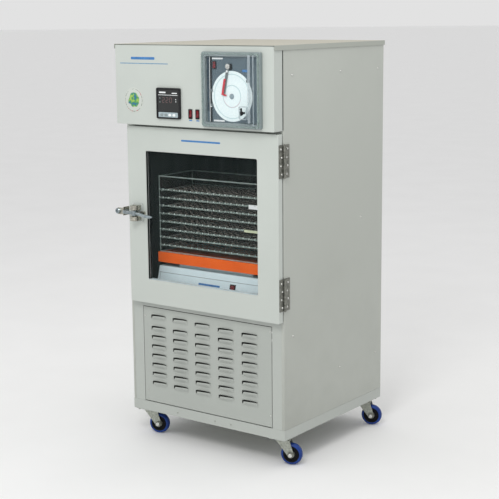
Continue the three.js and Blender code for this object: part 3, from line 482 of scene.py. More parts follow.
def plastics():
    """Moulded, rubber, enamelled and foamed parts."""
    return {
        # Louvre sheet's back and cut edges near black: painted shade inside the louvre mouths.
        "louvre_back_shade": speckled("louvre_back_painted_shade", (0.010, 0.011, 0.011), (0.022, 0.023, 0.022), (0.7, 0.85), 40,
            specular=0.1),
        "black": speckled("black_plastic", (0.007, 0.008, 0.009), (0.015, 0.016, 0.018), (0.32, 0.5), 60,
            specular=0.3),
        "rubber": speckled("gasket_rubber", (0.004, 0.004, 0.005), (0.011, 0.011, 0.012), (0.6, 0.8), 90,
            specular=0.12),
        "gloss_black": speckled("display_window", (0.008, 0.010, 0.010), (0.014, 0.016, 0.016), (0.1, 0.18),
            25, bump=0.0, coat=0.3),
        "silver": speckled("silver_strip", (0.34, 0.42, 0.45), (0.44, 0.52, 0.55), (0.3, 0.42), 120),
        "red": speckled("red_lens", (0.10, 0.002, 0.005), (0.22, 0.006, 0.012), (0.2, 0.3), 160,
            specular=0.35),
        "recorder": speckled("recorder_frame", (0.23, 0.28, 0.285), (0.28, 0.33, 0.335), (0.25, 0.4), 14,
            coat=0.2),
        "navy": speckled("recorder_channel", (0.012, 0.028, 0.045), (0.028, 0.055, 0.080), (0.3, 0.4), 60,
            specular=0.3),
        "plate": speckled("recorder_plate", (0.070, 0.112, 0.140), (0.105, 0.150, 0.178), (0.35, 0.5), 22),
        "hub": speckled("chart_hub", (0.20, 0.27, 0.31), (0.32, 0.40, 0.44), (0.3, 0.4), 200),
        "orange": speckled("orange_tray", (0.84, 0.125, 0.012), (0.94, 0.155, 0.018), (0.4, 0.5), 12,
            specular=0.05),
        "pale": speckled("agitator_case", (0.68, 0.82, 0.86), (0.76, 0.90, 0.94), (0.32, 0.45), 14),
        "seam": speckled("dark_seam", (0.10, 0.12, 0.125), (0.15, 0.17, 0.175), (0.6, 0.7), 90, bump=0.0),
        # Pale posts and bumps on the trays and cage: painted glints.
        "glint": speckled("painted_glint_posts", (0.48, 0.56, 0.53), (0.74, 0.82, 0.79), (0.2, 0.3), 120),
        "tread": speckled("blue_tread", (0.006, 0.026, 0.16), (0.014, 0.060, 0.29), (0.35, 0.55), 70,
            bump=0.15, specular=0.3),
        "core": speckled("wheel_core", (0.004, 0.004, 0.005), (0.009, 0.009, 0.010), (0.35, 0.5), 90,
            specular=0.12),
        "machine": speckled("machine_enamel", (0.012, 0.012, 0.013), (0.03, 0.03, 0.031), (0.3, 0.45), 25,
            bump=0.15),
        # Insulation near black: painted shade in the gap above the louvre panel.
        "foam": speckled("foam", (0.045, 0.045, 0.042), (0.075, 0.074, 0.070), (0.8, 0.95), 90, bump=0.4),
    }


def prints():
    """Prints, lit figures, the red pen and the paper tag."""
    return {
        "white": speckled("white_print", (0.80, 0.84, 0.85), (0.92, 0.95, 0.95), (0.45, 0.6), 90),
        "digit": speckled("digit_bars", (0.16, 0.09, 0.09), (0.26, 0.15, 0.15), (0.3, 0.4), 200, bump=0.0),
        "blue": speckled("blue_print", (0.035, 0.16, 0.42), (0.06, 0.24, 0.55), (0.4, 0.5), 150, bump=0.0),
        "pale_blue_line": speckled("rule_print", (0.12, 0.26, 0.42), (0.20, 0.36, 0.52), (0.4, 0.5), 90,
            bump=0.0),
        "pen_red": speckled("pen_red", (0.55, 0.012, 0.03), (0.75, 0.03, 0.05), (0.25, 0.35), 150),
        "tag": speckled("tray_tag", (0.55, 0.62, 0.42), (0.68, 0.74, 0.52), (0.5, 0.6), 80, bump=0.0),
    }


def clear_plastics():
    """Glass and acrylic: faces, edges, holes and paler bands."""
    return {
        "clear": speckled("clear_acrylic", (0.24, 0.20, 0.17), (0.36, 0.31, 0.27), (0.06, 0.12), 30,
            bump=0.02, alpha=0.05, specular=0.3),
        "edge": speckled("acrylic_edge", (0.26, 0.36, 0.33), (0.50, 0.62, 0.57), (0.2, 0.35), 160,
            alpha=0.34, specular=0.3),
        "hole": speckled("acrylic_hole", (0.20, 0.165, 0.14), (0.62, 0.58, 0.52), (0.2, 0.35), 110,
            alpha=0.42, specular=0.2),
        # Cage edges pale and brighter than the other acrylic edges: painted highlight.
        "cage_edge_highlight": speckled("cage_edge_highlight", (0.36, 0.48, 0.45), (0.62, 0.74, 0.70), (0.2, 0.3), 60,
            alpha=0.46, specular=0.3),
        "glass": speckled("door_glass", (0.10, 0.14, 0.14), (0.14, 0.18, 0.18), (0.015, 0.03), 3, bump=0.0,
            alpha=0.05, specular=0.14),
        "cover": speckled("recorder_cover", (0.30, 0.38, 0.42), (0.40, 0.48, 0.52), (0.05, 0.12), 14,
            bump=0.02, alpha=0.05, specular=0.3),
        "cover_band": speckled("cover_band", (0.42, 0.50, 0.54), (0.60, 0.67, 0.70), (0.12, 0.25), 12,
            alpha=0.42, stretch=(3, 1, 0.4)),
    }


def make_materials():
    return {**paints(), **metals(), **plastics(), **prints(), **clear_plastics()}


# ---- building blocks ------------------------------------------------
def point_on(axis, a, b, along):
    """A point from two coordinates in the plane across an axis and one along it."""
    i, j, k = AXES[axis]
    p = [0, 0, 0]
    p[i], p[j], p[k] = a, b, along
    return at(*p)


def arc(centre, radius, start, end, steps):
    """Points on an arc in a plane, angles in degrees."""
    return [
        (centre[0] + radius * math.cos(math.radians(start + (end - start) * i / steps)),
         centre[1] + radius * math.sin(math.radians(start + (end - start) * i / steps)))
        for i in range(steps + 1)
    ]


def rounded(a0, a1, b0, b1, r, steps=5):
    """A rectangle's outline with round corners."""
    return (
        arc((a1 - r, b0 + r), r, -90, 0, steps) + arc((a1 - r, b1 - r), r, 0, 90, steps)
        + arc((a0 + r, b1 - r), r, 90, 180, steps) + arc((a0 + r, b0 + r), r, 180, 270, steps)
    )


def inset(box, gap, r):
    """The outline of x0, x1, z0, z1 drawn in all round by a gap."""
    x0, x1, z0, z1 = box
    return rounded(x0 + gap, x1 - gap, z0 + gap, z1 - gap, r)


def circle(radius, sides):
    turns = [2 * math.pi * i / sides for i in range(sides)]
    return [(radius * math.cos(turn), radius * math.sin(turn)) for turn in turns]


class Shape:
    """Collects solids, in working-frame millimetres, into one mesh with several materials."""

    def __init__(self):
        self.bm = bmesh.new()

    def prism(self, outline, axis, lo, hi, slot=0, side_slot=None):
        """An outline pushed along an axis; its sides may have their own material."""
        ends = [[self.bm.verts.new(point_on(axis, a, b, h)) for a, b in outline] for h in (lo, hi)]
        faces = [self.bm.faces.new(ring) for ring in ends]
        walls = []
        count = len(outline)
        for i in range(count):
            j = (i + 1) % count
            walls.append(self.bm.faces.new((ends[0][i], ends[0][j], ends[1][j], ends[1][i])))
        for face in faces:
            face.material_index = slot
        for face in walls:
            face.material_index = slot if side_slot is None else side_slot
        return self

    def box(self, x0, x1, y0, y1, z0, z1, slot=0):
        return self.prism([(x0, y0), (x1, y0), (x1, y1), (x0, y1)], "z", z0, z1, slot)

    def pane(self, x0, x1, y0, y1, z0, z1, face_slot=0, edge_slot=1):
        """A thin sheet whose two large faces and narrow edges have their own materials."""
        sizes = {"x": x1 - x0, "y": y1 - y0, "z": z1 - z0}
        axis = min(sizes, key=sizes.get)
        i, j, k = AXES[axis]
        lows, highs = (x0, y0, z0), (x1, y1, z1)
        outline = [(lows[i], lows[j]), (highs[i], lows[j]), (highs[i], highs[j]), (lows[i], highs[j])]
        return self.prism(outline, axis, lows[k], highs[k], face_slot, edge_slot)

    def ring(self, outer, inner, axis, lo, hi, slot=0):
        """A frame between two outlines with the same number of points."""
        count = len(outer)
        outer_lo, outer_hi, inner_lo, inner_hi = [
            [self.bm.verts.new(point_on(axis, a, b, h)) for a, b in line]
            for line in (outer, inner) for h in (lo, hi)
        ]
        strips = ((outer_lo, outer_hi), (outer_hi, inner_hi), (inner_hi, inner_lo), (inner_lo, outer_lo))
        for i in range(count):
            j = (i + 1) % count
            for a, b in strips:
                self.bm.faces.new((a[i], a[j], b[j], b[i])).material_index = slot
        return self

    def lathe(self, profile, centre, direction=(0, 0, 1), sides=32, slot=0):
        """Turns [(radius, height, slot?), ...] about a line through centre along direction."""
        turn = Vector((0, 0, 1)).rotation_difference(Vector(direction).normalized())
        middle = at(*centre)
        rings = []
        for r, h, *_ in profile:
            spots = circle(r * MM, sides) if r else [(0, 0)]
            rings.append([self.bm.verts.new(middle + turn @ Vector((a, b, h * MM))) for a, b in spots])
        # A profile that comes back to its first point closes on the first ring.
        if profile[0][:2] == profile[-1][:2] and len(rings[0]) > 1:
            bmesh.ops.delete(self.bm, geom=rings[-1], context="VERTS")
            rings[-1] = rings[0]
        for k in range(len(rings) - 1):
            a, b = rings[k], rings[k + 1]
            index = profile[k][2] if len(profile[k]) > 2 else slot
            for i in range(sides):
                j = (i + 1) % sides
                corners = [a[i % len(a)], a[j % len(a)], b[j % len(b)], b[i % len(b)]]
                unique = list(dict.fromkeys(corners))
                if len(unique) > 2:
                    self.bm.faces.new(unique).material_index = index
        return self

    def disc(self, centre, radius, depth, direction=(0, -1, 0), slot=0, edge=0.5, sides=24):
        """A short cylinder with a softened front edge, standing on centre."""
        e = min(edge, depth * 0.6, radius * 0.4)
        profile = [(0, 0), (radius, 0), (radius, depth - e), (radius - 0.3 * e, depth - 0.3 * e),
                   (radius - e, depth), (0, depth)]
        return self.lathe(profile, centre, direction, sides, slot)

    def tube(self, path, radii, sides=16, slot=0, squeeze=1.0):
        """A bar swept along points, with a radius (or a list of them); squeeze flattens it along z."""
        points = [at(*p) for p in path]
        if isinstance(radii, (int, float)):
            radii = [radii] * len(points)
        rings = []
        for k, p in enumerate(points):
            ahead = (points[min(k + 1, len(points) - 1)] - points[max(k - 1, 0)]).normalized()
            side = ahead.cross(Vector((0, 0, 1)))
            side = side.normalized() if side.length > 1e-6 else Vector((1, 0, 0))
            up = side.cross(ahead)
            spokes = [a * side + squeeze * b * up for a, b in circle(1, sides)]
            rings.append([self.bm.verts.new(p + radii[k] * MM * spoke) for spoke in spokes])
        for a, b in zip(rings, rings[1:]):
            for i in range(sides):
                j = (i + 1) % sides
                self.bm.faces.new((a[i], a[j], b[j], b[i])).material_index = slot
        for ring in (rings[0], rings[-1]):
            self.bm.faces.new(ring).material_index = slot
        return self

    def screw(self, centre, direction, radius=3.2, slot=0):
        """A pan-head screw with a small round recess in its crown."""
        r = radius
        profile = [(0, 0), (r, 0), (r, 0.25 * r), (0.86 * r, 0.5 * r), (0.5 * r, 0.66 * r),
                   (0.16 * r, 0.7 * r), (0.14 * r, 0.42 * r), (0, 0.42 * r)]
        return self.lathe(profile, centre, direction, 16, slot)

    def build(self, name, materials, body, slot=None, stands_for=(), bevel=0.0, segments=2, smooth=35):
        """Finishes the mesh and mounts it as a piece."""
        bmesh.ops.recalc_face_normals(self.bm, faces=self.bm.faces)
        mesh = bpy.data.meshes.new(name)
        self.bm.to_mesh(mesh)
        self.bm.free()
        return mount(name, mesh, materials, body, stands_for, bevel, segments, smooth, 30)


def fixings(name, material, body, spots, direction, radius):
    """Pan-head screws that face one way, as one piece."""
    shape = Shape()
    for spot in spots:
        shape.screw(spot, direction, radius)
    shape.build(name, [material], body)


def mount(name, mesh, materials, body, stands_for, bevel, segments, smooth, limit):
    """Turns a mesh into a finished piece on a body."""
    piece = bpy.data.objects.new(name, mesh)
    bpy.context.scene.collection.objects.link(piece)
    for material in materials:
        mesh.materials.append(material)
    for polygon in mesh.polygons:
        polygon.use_smooth = True
    mesh.set_sharp_from_angle(angle=math.radians(smooth))
    if bevel:
        modifier = piece.modifiers.new("bevel", "BEVEL")
        modifier.width = bevel * MM
        modifier.segments = segments
        modifier.limit_method = "ANGLE"
        modifier.angle_limit = math.radians(limit)
        modifier.use_clamp_overlap = True
        modifier.harden_normals = True
    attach(piece, body)
    if stands_for:
        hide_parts(*stands_for)
    return piece


def dressed(node, material, bevel=0.8, segments=2, smooth=35, limit=30, name=None):
    """A CAD node's own shape with its edges softened."""
    bm = bmesh.new()
    bm.from_mesh(frame["nodes"][node].data)
    bmesh.ops.remove_doubles(bm, verts=bm.verts, dist=2e-5)
    bmesh.ops.dissolve_limit(bm, angle_limit=math.radians(0.5), verts=bm.verts, edges=bm.edges)
    mesh = bpy.data.meshes.new(node + "_shape")
    bm.to_mesh(mesh)
    bm.free()
    return mount(name or node + "_shape", mesh, [material], BODY_OF[node], [node], bevel,
                 segments, smooth, limit)


def carry(node, material):
    """A CAD node that stays as it is gets its finish."""
    mesh_object = frame["nodes"][node]
    mesh_object.data.materials.clear()
    mesh_object.data.materials.append(material)


# ---- casing ---------------------------------------------------------
def side_panel(sign, name, node, m):
    """A side sheet, its front edge rolled round on to the face."""
    *_, z0, z1 = extent(node)
    outer = [(HALF_WIDTH, DEPTH)] + arc((HALF_WIDTH - 5, 4.2), 5, 0, -90, 6) + [(HALF_WIDTH - 10, -0.8)]
    inner = [(HALF_WIDTH - 10, -0.1)] + arc((HALF_WIDTH - 5, 4.2), 4.3, -90, 0, 6)
    inner += [(HALF_WIDTH - 1.5, 6), (HALF_WIDTH - 1.5, DEPTH)]
    shape = Shape().prism([(sign * x, y) for x, y in outer + inner], "z", z0, z1)
    for y, z in SIDE_SCREWS:
        shape.screw((sign * (HALF_WIDTH - 0.1), y, z), (sign, 0, 0), 3.4, 1)
    shape.build(name, [m["side"], m["screw"]], "cabinet", "cabinet_paint", [node], bevel=0.3, segments=1,
                smooth=40)


def hood_depth(u, v):
    """How far a louvre stands out at u across it and v down it, both from 0 to 1."""
    end = max(0.0, 1 - abs(2 * u - 1) ** 4) ** 0.6
    return LOUVRE_DEPTH * end * ((1 + math.cos(v * math.pi)) / 2) ** 0.8


def cut_drop(u):
    """How far the sheet's cut edge droops at u: its two ends are rounded."""
    return 3.2 * u ** 10 + 2.2 * (1 - u) ** 12


def louvre_tops(column):
    tops = [LOUVRE_LAST + row * LOUVRE_PITCH for row in range(LOUVRE_ROWS)]
    tops[-1] += LOUVRE_TOP_SHIFT[column]
    return tops


class Sheet:
    """One thin sheet: quads between shared vertices, in working-frame millimetres."""

    def __init__(self):
        self.bm = bmesh.new()
        self.vertices = {}

    def vertex(self, x, y, z, tag=""):
        key = (round(x, 3), round(y, 3), round(z, 3), tag)
        if key not in self.vertices:
            self.vertices[key] = self.bm.verts.new(at(x, y, z))
        return self.vertices[key]

    def patch(self, rows):
        """Quads between rows of points, given from the top down, each from left to right."""
        for upper, lower in zip(rows, rows[1:]):
            for i in range(len(upper) - 1):
                corners = (lower[i], lower[i + 1], upper[i + 1], upper[i])
                if len(set(corners)) == 4:
                    self.bm.faces.new(corners)

    def flat(self, xs, low, high):
        self.patch([[self.vertex(x, 0, z) for x in xs] for z in (high, low)])


def hood(sheet, us, xs, cut, bottom):
    """Presses one louvre out between its cut edge and its foot."""
    rows = []
    for j in range(DOWN + 1):
        v = j / DOWN
        left_gap = MOUTH_WIDTH * max(0.0, 1 - v / MOUTH_DROP) ** 0.7
        row = []
        for u, x, z in zip(us, xs, cut):
            lip = z - MOUTH_HEIGHT * (1 - u) ** 0.7
            free = j == 0 and u < 1 or u == 0 and v < MOUTH_DROP
            row.append(sheet.vertex(x + left_gap * (1 - u) ** 2, -hood_depth(u, v), lip + (bottom - lip) * v,
                                    "lip" if free else ""))
        rows.append(row)
    sheet.patch(rows)


def louvre_column(sheet, column, x_range, z_range):
    """One column of hoods and the flat sheet around them."""
    middle = LOUVRE_X[column]
    left = x_range[0] if column == 0 else (LOUVRE_X[column - 1] + middle) / 2
    right = x_range[1] if column == len(LOUVRE_X) - 1 else (middle + LOUVRE_X[column + 1]) / 2
    us = [i / ACROSS for i in range(ACROSS + 1)]
    xs = [middle - LOUVRE_WIDTH / 2 + LOUVRE_WIDTH * u for u in us]
    levels = [z_range[0]]
    for top in louvre_tops(column):
        bottom = top - LOUVRE_HEIGHT
        sheet.flat(xs, levels[-1], bottom)
        cut = [top - cut_drop(u) for u in us]
        above = [sheet.vertex(x, 0, top + LOUVRE_MARGIN) for x in xs]
        sheet.patch([above, [sheet.vertex(x, 0, z) for x, z in zip(xs, cut)]])
        hood(sheet, us, xs, cut, bottom)
        levels += [bottom, cut[0], top + LOUVRE_MARGIN]
    sheet.flat(xs, levels[-1], z_range[1])
    levels = sorted({round(z, 3) for z in levels + [z_range[1]]})
    for edges in ((left, xs[0]), (xs[-1], right)):
        sheet.patch([[sheet.vertex(x, 0, z) for x in edges] for z in reversed(levels)])


def louvre_panel(m):
    """One sheet; each hood is pressed out of it and parts from it along its curled top edge."""
    x0, x1, _, y_back, z0, z1 = extent("louvre_panel")
    sheet = Sheet()
    for column in range(len(LOUVRE_X)):
        louvre_column(sheet, column, (x0, x1), (z0, z1))
    mesh = bpy.data.meshes.new("louvre_sheet")
    sheet.bm.to_mesh(mesh)
    sheet.bm.free()
    piece = mount("louvre_sheet", mesh, [m["lower"], m["louvre_back_shade"]], "cabinet",
                  ["louvre_panel"], 0, 2, 60, 30)
    thick = piece.modifiers.new("thickness", "SOLIDIFY")
    thick.thickness = y_back * MM * 0.8
    thick.offset = -1
    # The back and the cut edges take the second material, painted shade.
    thick.material_offset = 1
    piece.modifiers.new("even_shading", "WEIGHTED_NORMAL").keep_sharp = True
    fixings("louvre_screws", m["screw"], "cabinet", [(x, 0, z) for x, z in LOUVRE_SCREWS], FORWARD, 2.6)


def casing(m):
    dressed("base_frame", m["frame"], 0.8)
    side_panel(1, "side_sheet_right", "side_panel_right", m)
    side_panel(-1, "side_sheet_left", "side_panel_left", m)
    dressed("top_cover", m["lid"], 0.7, name="lid")
    dressed("back_panel", m["side"], 0.3, 1, name="back_sheet")
    louvre_panel(m)
    for node, key in (("face_frame", "frame"), ("machine_deck", "zinc"), ("chamber_liner", "stainless"),
                      ("insulation", "foam")):
        carry(node, m[key])
    dressed("evaporator_cover", m["stainless"], 0.5)
    dressed("circulation_fan", m["black"], 0.3, 1)
    dressed("compressor", m["machine"], 1.5)
    dressed("condenser", m["coil"], 0.6)
    dressed("condenser_fan", m["zinc"], 0.3, 1)
    dressed("mains_inlet", m["black"], 0.6)
    casing_fixings(m)


def casing_fixings(m):
    fixings("base_rivets", m["zinc"], "cabinet", [(x, 0.1, RIVET_Z) for x in RIVET_X], FORWARD, 2.4)
    bolts = Shape()
    for _, x in CASTOR_SIDES:
        for _, y in CASTOR_ENDS:
            for dx, dy in PLATE_BOLTS:
                bolts.lathe([(0, -4.2), (5.2, -4.2), (5.2, 0), (0, 0)], (x + dx, y + dy, PLATE_Z), sides=6)
    bolts.build("castor_plate_bolts", [m["zinc"]], "cabinet", bevel=0.4)


# ---- door -----------------------------------------------------------
def window_seals(m):
    """Channel that lines the window's edge before and behind the glass: black, with a pale sill."""
    x0, x1, z0, z1 = WINDOW
    front, back = extent("door_glass")[2:4]
    shape = Shape()
    for lo, hi in ((DOOR_FRONT + 2.2, front - 0.1), (back + 0.1, -5.6)):
        shape.box(x0, x0 + 1.6, lo, hi, z0, z1)
        shape.box(x1 - 1.6, x1, lo, hi, z0, z1)
        shape.box(x0 + 1.6, x1 - 1.6, lo, hi, z1 - 1.6, z1)
        shape.box(x0 + 1.6, x1 - 1.6, lo, hi, z0, z0 + 1.0, 1)
    shape.build("window_seal", [m["rubber"], m["pale"]], "door", "rubber", bevel=0.3)


def door_seal(m):
    """A hollow bulb of black rubber with a thin black lip that reaches out to the door's edge; the lip is
    painted shade that darkens the gap round the door.
    """
    x0, x1, y0, y1, z0, z1 = extent("door_gasket")
    box = (x0, x1, z0, z1)
    seal = Shape().ring(inset(box, 0, 6), inset(box, 13, 3), "y", y0 + 0.6, y1)
    # The lip: painted shade in the gap round the door.
    seal.ring(inset(box, -9, 6), inset(box, 2, 5), "y", y0, y0 + 2.4)
    seal.build("door_seal", [m["rubber"]], "door", "rubber", ["door_gasket"], bevel=1.0)


def hinges(m):
    """The leaves, and the screws of each leaf on its own body."""
    casing_spots, door_spots = [], []
    for level in ("lower", "upper"):
        for part in ("casing", "door"):
            dressed(f"hinge_leaf_{part}_{level}", m["hinge"], 0.5, name=f"hinge_{part}_{level}")
        *_, z0, z1 = extent(f"hinge_leaf_door_{level}")
        step = (z1 - z0) / 4
        for k in range(4):
            z = z0 + step * (k + 0.5)
            casing_spots.append((HINGE_FACE, 17 if k % 2 else 12, z))
            door_spots.append((HINGE_FACE, -17 if k % 2 else -13, z))
    fixings("hinge_screws_casing", m["screw"], "cabinet", casing_spots, (1, 0, 0), 3.4)
    fixings("hinge_screws_door", m["screw"], "door", door_spots, (1, 0, 0), 3.4)


def latch(m):
    latch_yoke(m)
    latch_lever(m)
    strike(m)


def latch_yoke(m):
    """Yoke on the door: a foot, two round ears and the pin through them."""
    x, y, z = LATCH
    face = DOOR_FRONT - 0.3
    yoke = Shape()
    yoke.prism(rounded(x - 22, x + 22, z - 31, z + 31, 6), "y", face - 3, face, 1)
    ear = arc((x, y), 14.5, 180, 360, 18) + [(x + 14.5, face - 3.5), (x - 14.5, face - 3.5)]
    for lo, hi, end, crown in ((z - 25, z - 10.5, z - 25, -1.6), (z + 10.5, z + 25, z + 25, 1.6)):
        yoke.prism(ear, "z", lo, hi)
        yoke.lathe([(0, crown), (4.6, crown), (6.2, crown * 0.4), (6.6, 0), (0, 0)], (x, y, end), sides=24)
    yoke.prism(rounded(x + 14, x + 31, z - 7, z + 5, 3), "y", face - 8, face)
    yoke.lathe([(0, z - 24), (3.4, z - 24), (3.4, z + 24), (0, z + 24)], (x, y, 0), sides=20)
    yoke.build("latch_yoke", [m["latch"], m["foot"]], "door", "latch_metal", ["latch_body"], bevel=1.4,
               segments=3)
    corners = [(x + dx, face - 3, z + dz) for dz in (-28, 28) for dx in (-16, 16)]
    fixings("latch_screws", m["screw"], "door", corners, FORWARD, 2.2)


def latch_lever(m):
    """Lever between the ears: a hub, a swept handle and the claw that reaches over the strike."""
    x, y, z = LATCH
    lever = Shape()
    hub = [(4.1, -9.5), (8, -9.5), (9.5, -8), (9.5, 8), (8, 9.5), (4.1, 9.5), (4.1, -9.5)]
    lever.lathe(hub, (x, y, z), sides=28)
    handle = [(x + 6, y - 3, z - 1), (x + 20, y - 6, z - 1.5), (x + 36, y - 8.5, z - 3),
              (x + 54, y - 10.5, z - 5.5), (x + 70, y - 12, z - 6), (x + 80, y - 12.5, z - 5),
              (x + 85.5, y - 12.6, z - 4.4)]
    lever.tube(handle, [5.4, 5.0, 4.6, 4.3, 3.9, 3.3, 1.2], 18, squeeze=1.25)
    lever.build("latch_handle", [m["lever"]], "latch", "latch_metal", ["latch_lever"], bevel=0.4, smooth=60)
    claw = Shape()
    claw.prism([(x - 6, y - 5), (x - 44, y - 3), (x - 54, y + 2), (x - 54, y + 24), (x - 60, y + 24),
                (x - 60, y + 29), (x - 49, y + 29), (x - 49, y + 6), (x - 42, y + 4), (x - 6, y + 5)], "z",
               z - 6, z + 4.5)
    claw.build("latch_claw", [m["lever"]], "latch", "latch_metal", bevel=1.6, segments=3)


def strike(m):
    """Bracket on the casing's left side, its round boss on a dark collar, and three screws."""
    x, y, z = STRIKE
    edge = -HALF_WIDTH - 0.3
    plate = Shape()
    plate.box(edge - 3, edge, y, 36, z - 14, z + 14)
    plate.prism(rounded(x - 3.8, -308.6, z - 11, z + 11, 3), "y", y, y + 4)
    plate.build("strike_plate", [m["latch"]], "cabinet", "latch_metal", ["strike_bracket"], bevel=0.9)
    boss = Shape()
    boss.lathe([(0, -4.6), (10.4, -4.6), (10.4, -1.4), (0, -1.4)], STRIKE, FORWARD, 28, 1)
    boss.lathe([(0, -10), (8.2, -10), (9, -9), (9, 4.5), (7.6, 5.8), (4.4, 6), (4.0, 3.4), (0, 3.2)], STRIKE,
               FORWARD, 28)
    boss.build("strike_boss", [m["lever"], m["rubber"]], "cabinet", "latch_metal")
    spots = [(edge - 3, dy, z + dz) for dy, dz in ((24, -7), (24, 7), (8, 0))]
    fixings("strike_screws", m["screw"], "cabinet", spots, (-1, 0, 0), 3)


def door(m):
    dressed("door_shell", m["paint"], 0.9, name="door_skin")
    carry("door_core", m["lining"])
    carry("door_glass", m["glass"])
    door_seal(m)
    window_seals(m)
    hinges(m)
    latch(m)
    title = Shape()
    title.prism(rounded(-62, 92, 1007.5, 1013, 2.4), "y", DOOR_FRONT - 0.25, DOOR_FRONT)
    title.build("door_rule", [m["blue"]], "door")


# ---- control fascia -------------------------------------------------
def controller(m):
    x, z = CONTROLLER
    middle = (x, x, z, z)
    shell = Shape().ring(inset(middle, -48, 5), inset(middle, -43, 2), "y", CASE_BACK - 6.7, CASE_BACK)
    shell.prism(inset(middle, -45.5, 2), "y", CASE_BACK - 4.4, CASE_BACK + 94)
    shell.build("controller_case", [m["black"]], "cabinet", "black_plastic", ["temperature_controller"],
                bevel=1.1)
    controller_face(x, z, CASE_BACK - 4.5, m)


def controller_face(x, z, plate, m):
    """Display window, figures, lamps and keys on the controller's plate."""
    parts = Shape()
    for x0, x1, z0, z1, corner, front, back, slot in CONTROLLER_PARTS:
        parts.prism(rounded(x + x0, x + x1, z + z0, z + z1, corner), "y", plate - front, plate - back, slot)
    for dz in (16, 4):
        parts.disc((x - 33, plate - 0.7, z + dz), 2.6, 0.8, slot=3)
    for dz in (13, 6):
        parts.disc((x + 31, plate - 0.7, z + dz), 1.7, 0.6, slot=2)
    low = z + 2
    for k, figure in enumerate(FIGURES):
        left = x - 24 + k * DIGIT_PITCH
        for a0, a1, b0, b1 in (SEGMENTS[segment] for segment in figure):
            parts.box(left + a0 * DIGIT_WIDTH, left + a1 * DIGIT_WIDTH, plate - 1.0, plate - 0.7,
                      low + b0 * DIGIT_HEIGHT, low + b1 * DIGIT_HEIGHT, 4)
    for k in range(4):
        left = x - 32 + k * KEY_PITCH
        parts.prism(rounded(left, left + 11, z - 39.5, z - 32, 3.2), "y", plate - 2.2, plate - 0.7,
                    2 if k > 1 else 5)
    keys = ("gloss_black", "silver", "white", "arm", "digit", "recorder")
    parts.build("controller_face", [m[k] for k in keys], "cabinet", "black_plastic", bevel=0.2, segments=1)


def fascia(m):
    dressed("control_fascia", m["paint"], 1.3, name="fascia_shell")
    controller(m)
    for side in ("left", "right"):
        dressed(f"switch_housing_{side}", m["black"], 0.5, name=f"switch_bezel_{side}")
        dressed(f"switch_rocker_{side}", m["red"], 0.7, name=f"switch_cap_{side}")
    prints = Shape()
    front = FASCIA_FRONT - 0.25
    prints.prism(rounded(-290, -92.5, 1246.6, 1249.2, 1.2), "y", front, FASCIA_FRONT, 0)
    prints.prism(rounded(-244, -146, 1260, 1268, 3.4), "y", front, FASCIA_FRONT, 1)
    for x in SWITCH_X:
        prints.prism(rounded(x - 6, x + 6, 1075.4, 1078.6, 1.2), "y", front, FASCIA_FRONT, 1)
    prints.build("fascia_rules", [m["pale_blue_line"], m["blue"]], "cabinet")
    seam = Shape()
    for sign in (-1, 1):
        inner, outer = sorted((sign * (HALF_WIDTH - 0.2), sign * (HALF_WIDTH + 0.6)))
        seam.box(inner, outer, -4.4, -0.9, 1057, 1292)
    seam.build("fascia_seam", [m["rubber"]], "cabinet", bevel=0.3)
    badge = Shape().disc((LABEL_X, FASCIA_FRONT, LABEL_Z), LABEL_RADIUS, LABEL_THICK, edge=0.2, sides=56)
    face = at(LABEL_X, FASCIA_FRONT - LABEL_THICK, LABEL_Z)
    badge.build("round_label", [sticker("label_print", face)], "cabinet")


# ---- chart recorder -------------------------------------------------
def recorder_case(m):
    """The frame and tray of the recorder, and the plate behind the chart with its trims and clips."""
    x0, x1, y0, y1, z0, z1 = extent("recorder_case")
    box = (x0, x1, z0, z1)
    shell = Shape()
    shell.ring(inset(box, 0, 6), inset(box, 14, 3), "y", y0, CASE_BACK)
    shell.prism(inset(box, 10, 4), "y", CASE_BACK - 1.4, y1)
    shell.build("recorder_shell", [m["recorder"]], "cabinet", "grey_plastic", ["recorder_case"], bevel=1.6,
                segments=3)
    deep = CASE_BACK - 1.4
    trim = Shape()
    trim.prism(inset(box, 15, 2), "y", deep - 0.6, deep, 0)
    for a0, a1, b0, b1, corner, proud, slot in RECORDER_TRIM:
        trim.prism(rounded(a0, a1, b0, b1, corner), "y", deep - proud, deep - 0.5, slot)
    for angle, radius in CHART_CLIPS:
        a = math.radians(angle)
        cx, cz = CHART[0] + radius * math.cos(a), CHART[1] + radius * math.sin(a)
        trim.prism(rounded(cx - 5, cx + 5, cz - 4, cz + 4, 1.8), "y", deep - 4.2, deep - 0.5, 5)
    trim.disc((CHART[0] - 78, deep - 1, CHART[1] - 30), 4.2, 3.0, slot=3)
    px, pz = PEN_PIVOT
    trim.prism(rounded(px + 3, px + 14, pz - 11, pz + 8, 4), "y", deep - 2.6, deep - 0.5, 1)
    for z in (z1 - 12, z0 + 12):
        trim.screw((x0 + 8, y0, z), FORWARD, 2.4, 2)
    keys = ("plate", "rubber", "recorder", "white", "red", "arm", "navy", "blue")
    trim.build("recorder_plate", [m[k] for k in keys], "cabinet", "grey_plastic", bevel=0.5)


def chart(m):
    x, z = CHART
    shape = Shape()
    shape.lathe([(0, 2.5, 0), (75.6, 2.5, 0), (76, 2.9, 0), (75.6, 3.3, 0), (8, 3.3, 1), (8.4, 3.6, 1),
                 (8.4, 4.2, 1), (7.4, 4.7, 1), (2.2, 4.7, 1), (0, 4.5, 1)], (x, CASE_BACK, z), FORWARD, 72)
    paper = chart_paper("chart_print", at(x, CASE_BACK, z))
    shape.build("chart_paper", [paper, m["hub"]], "chart", "paper", ["chart_disc"])


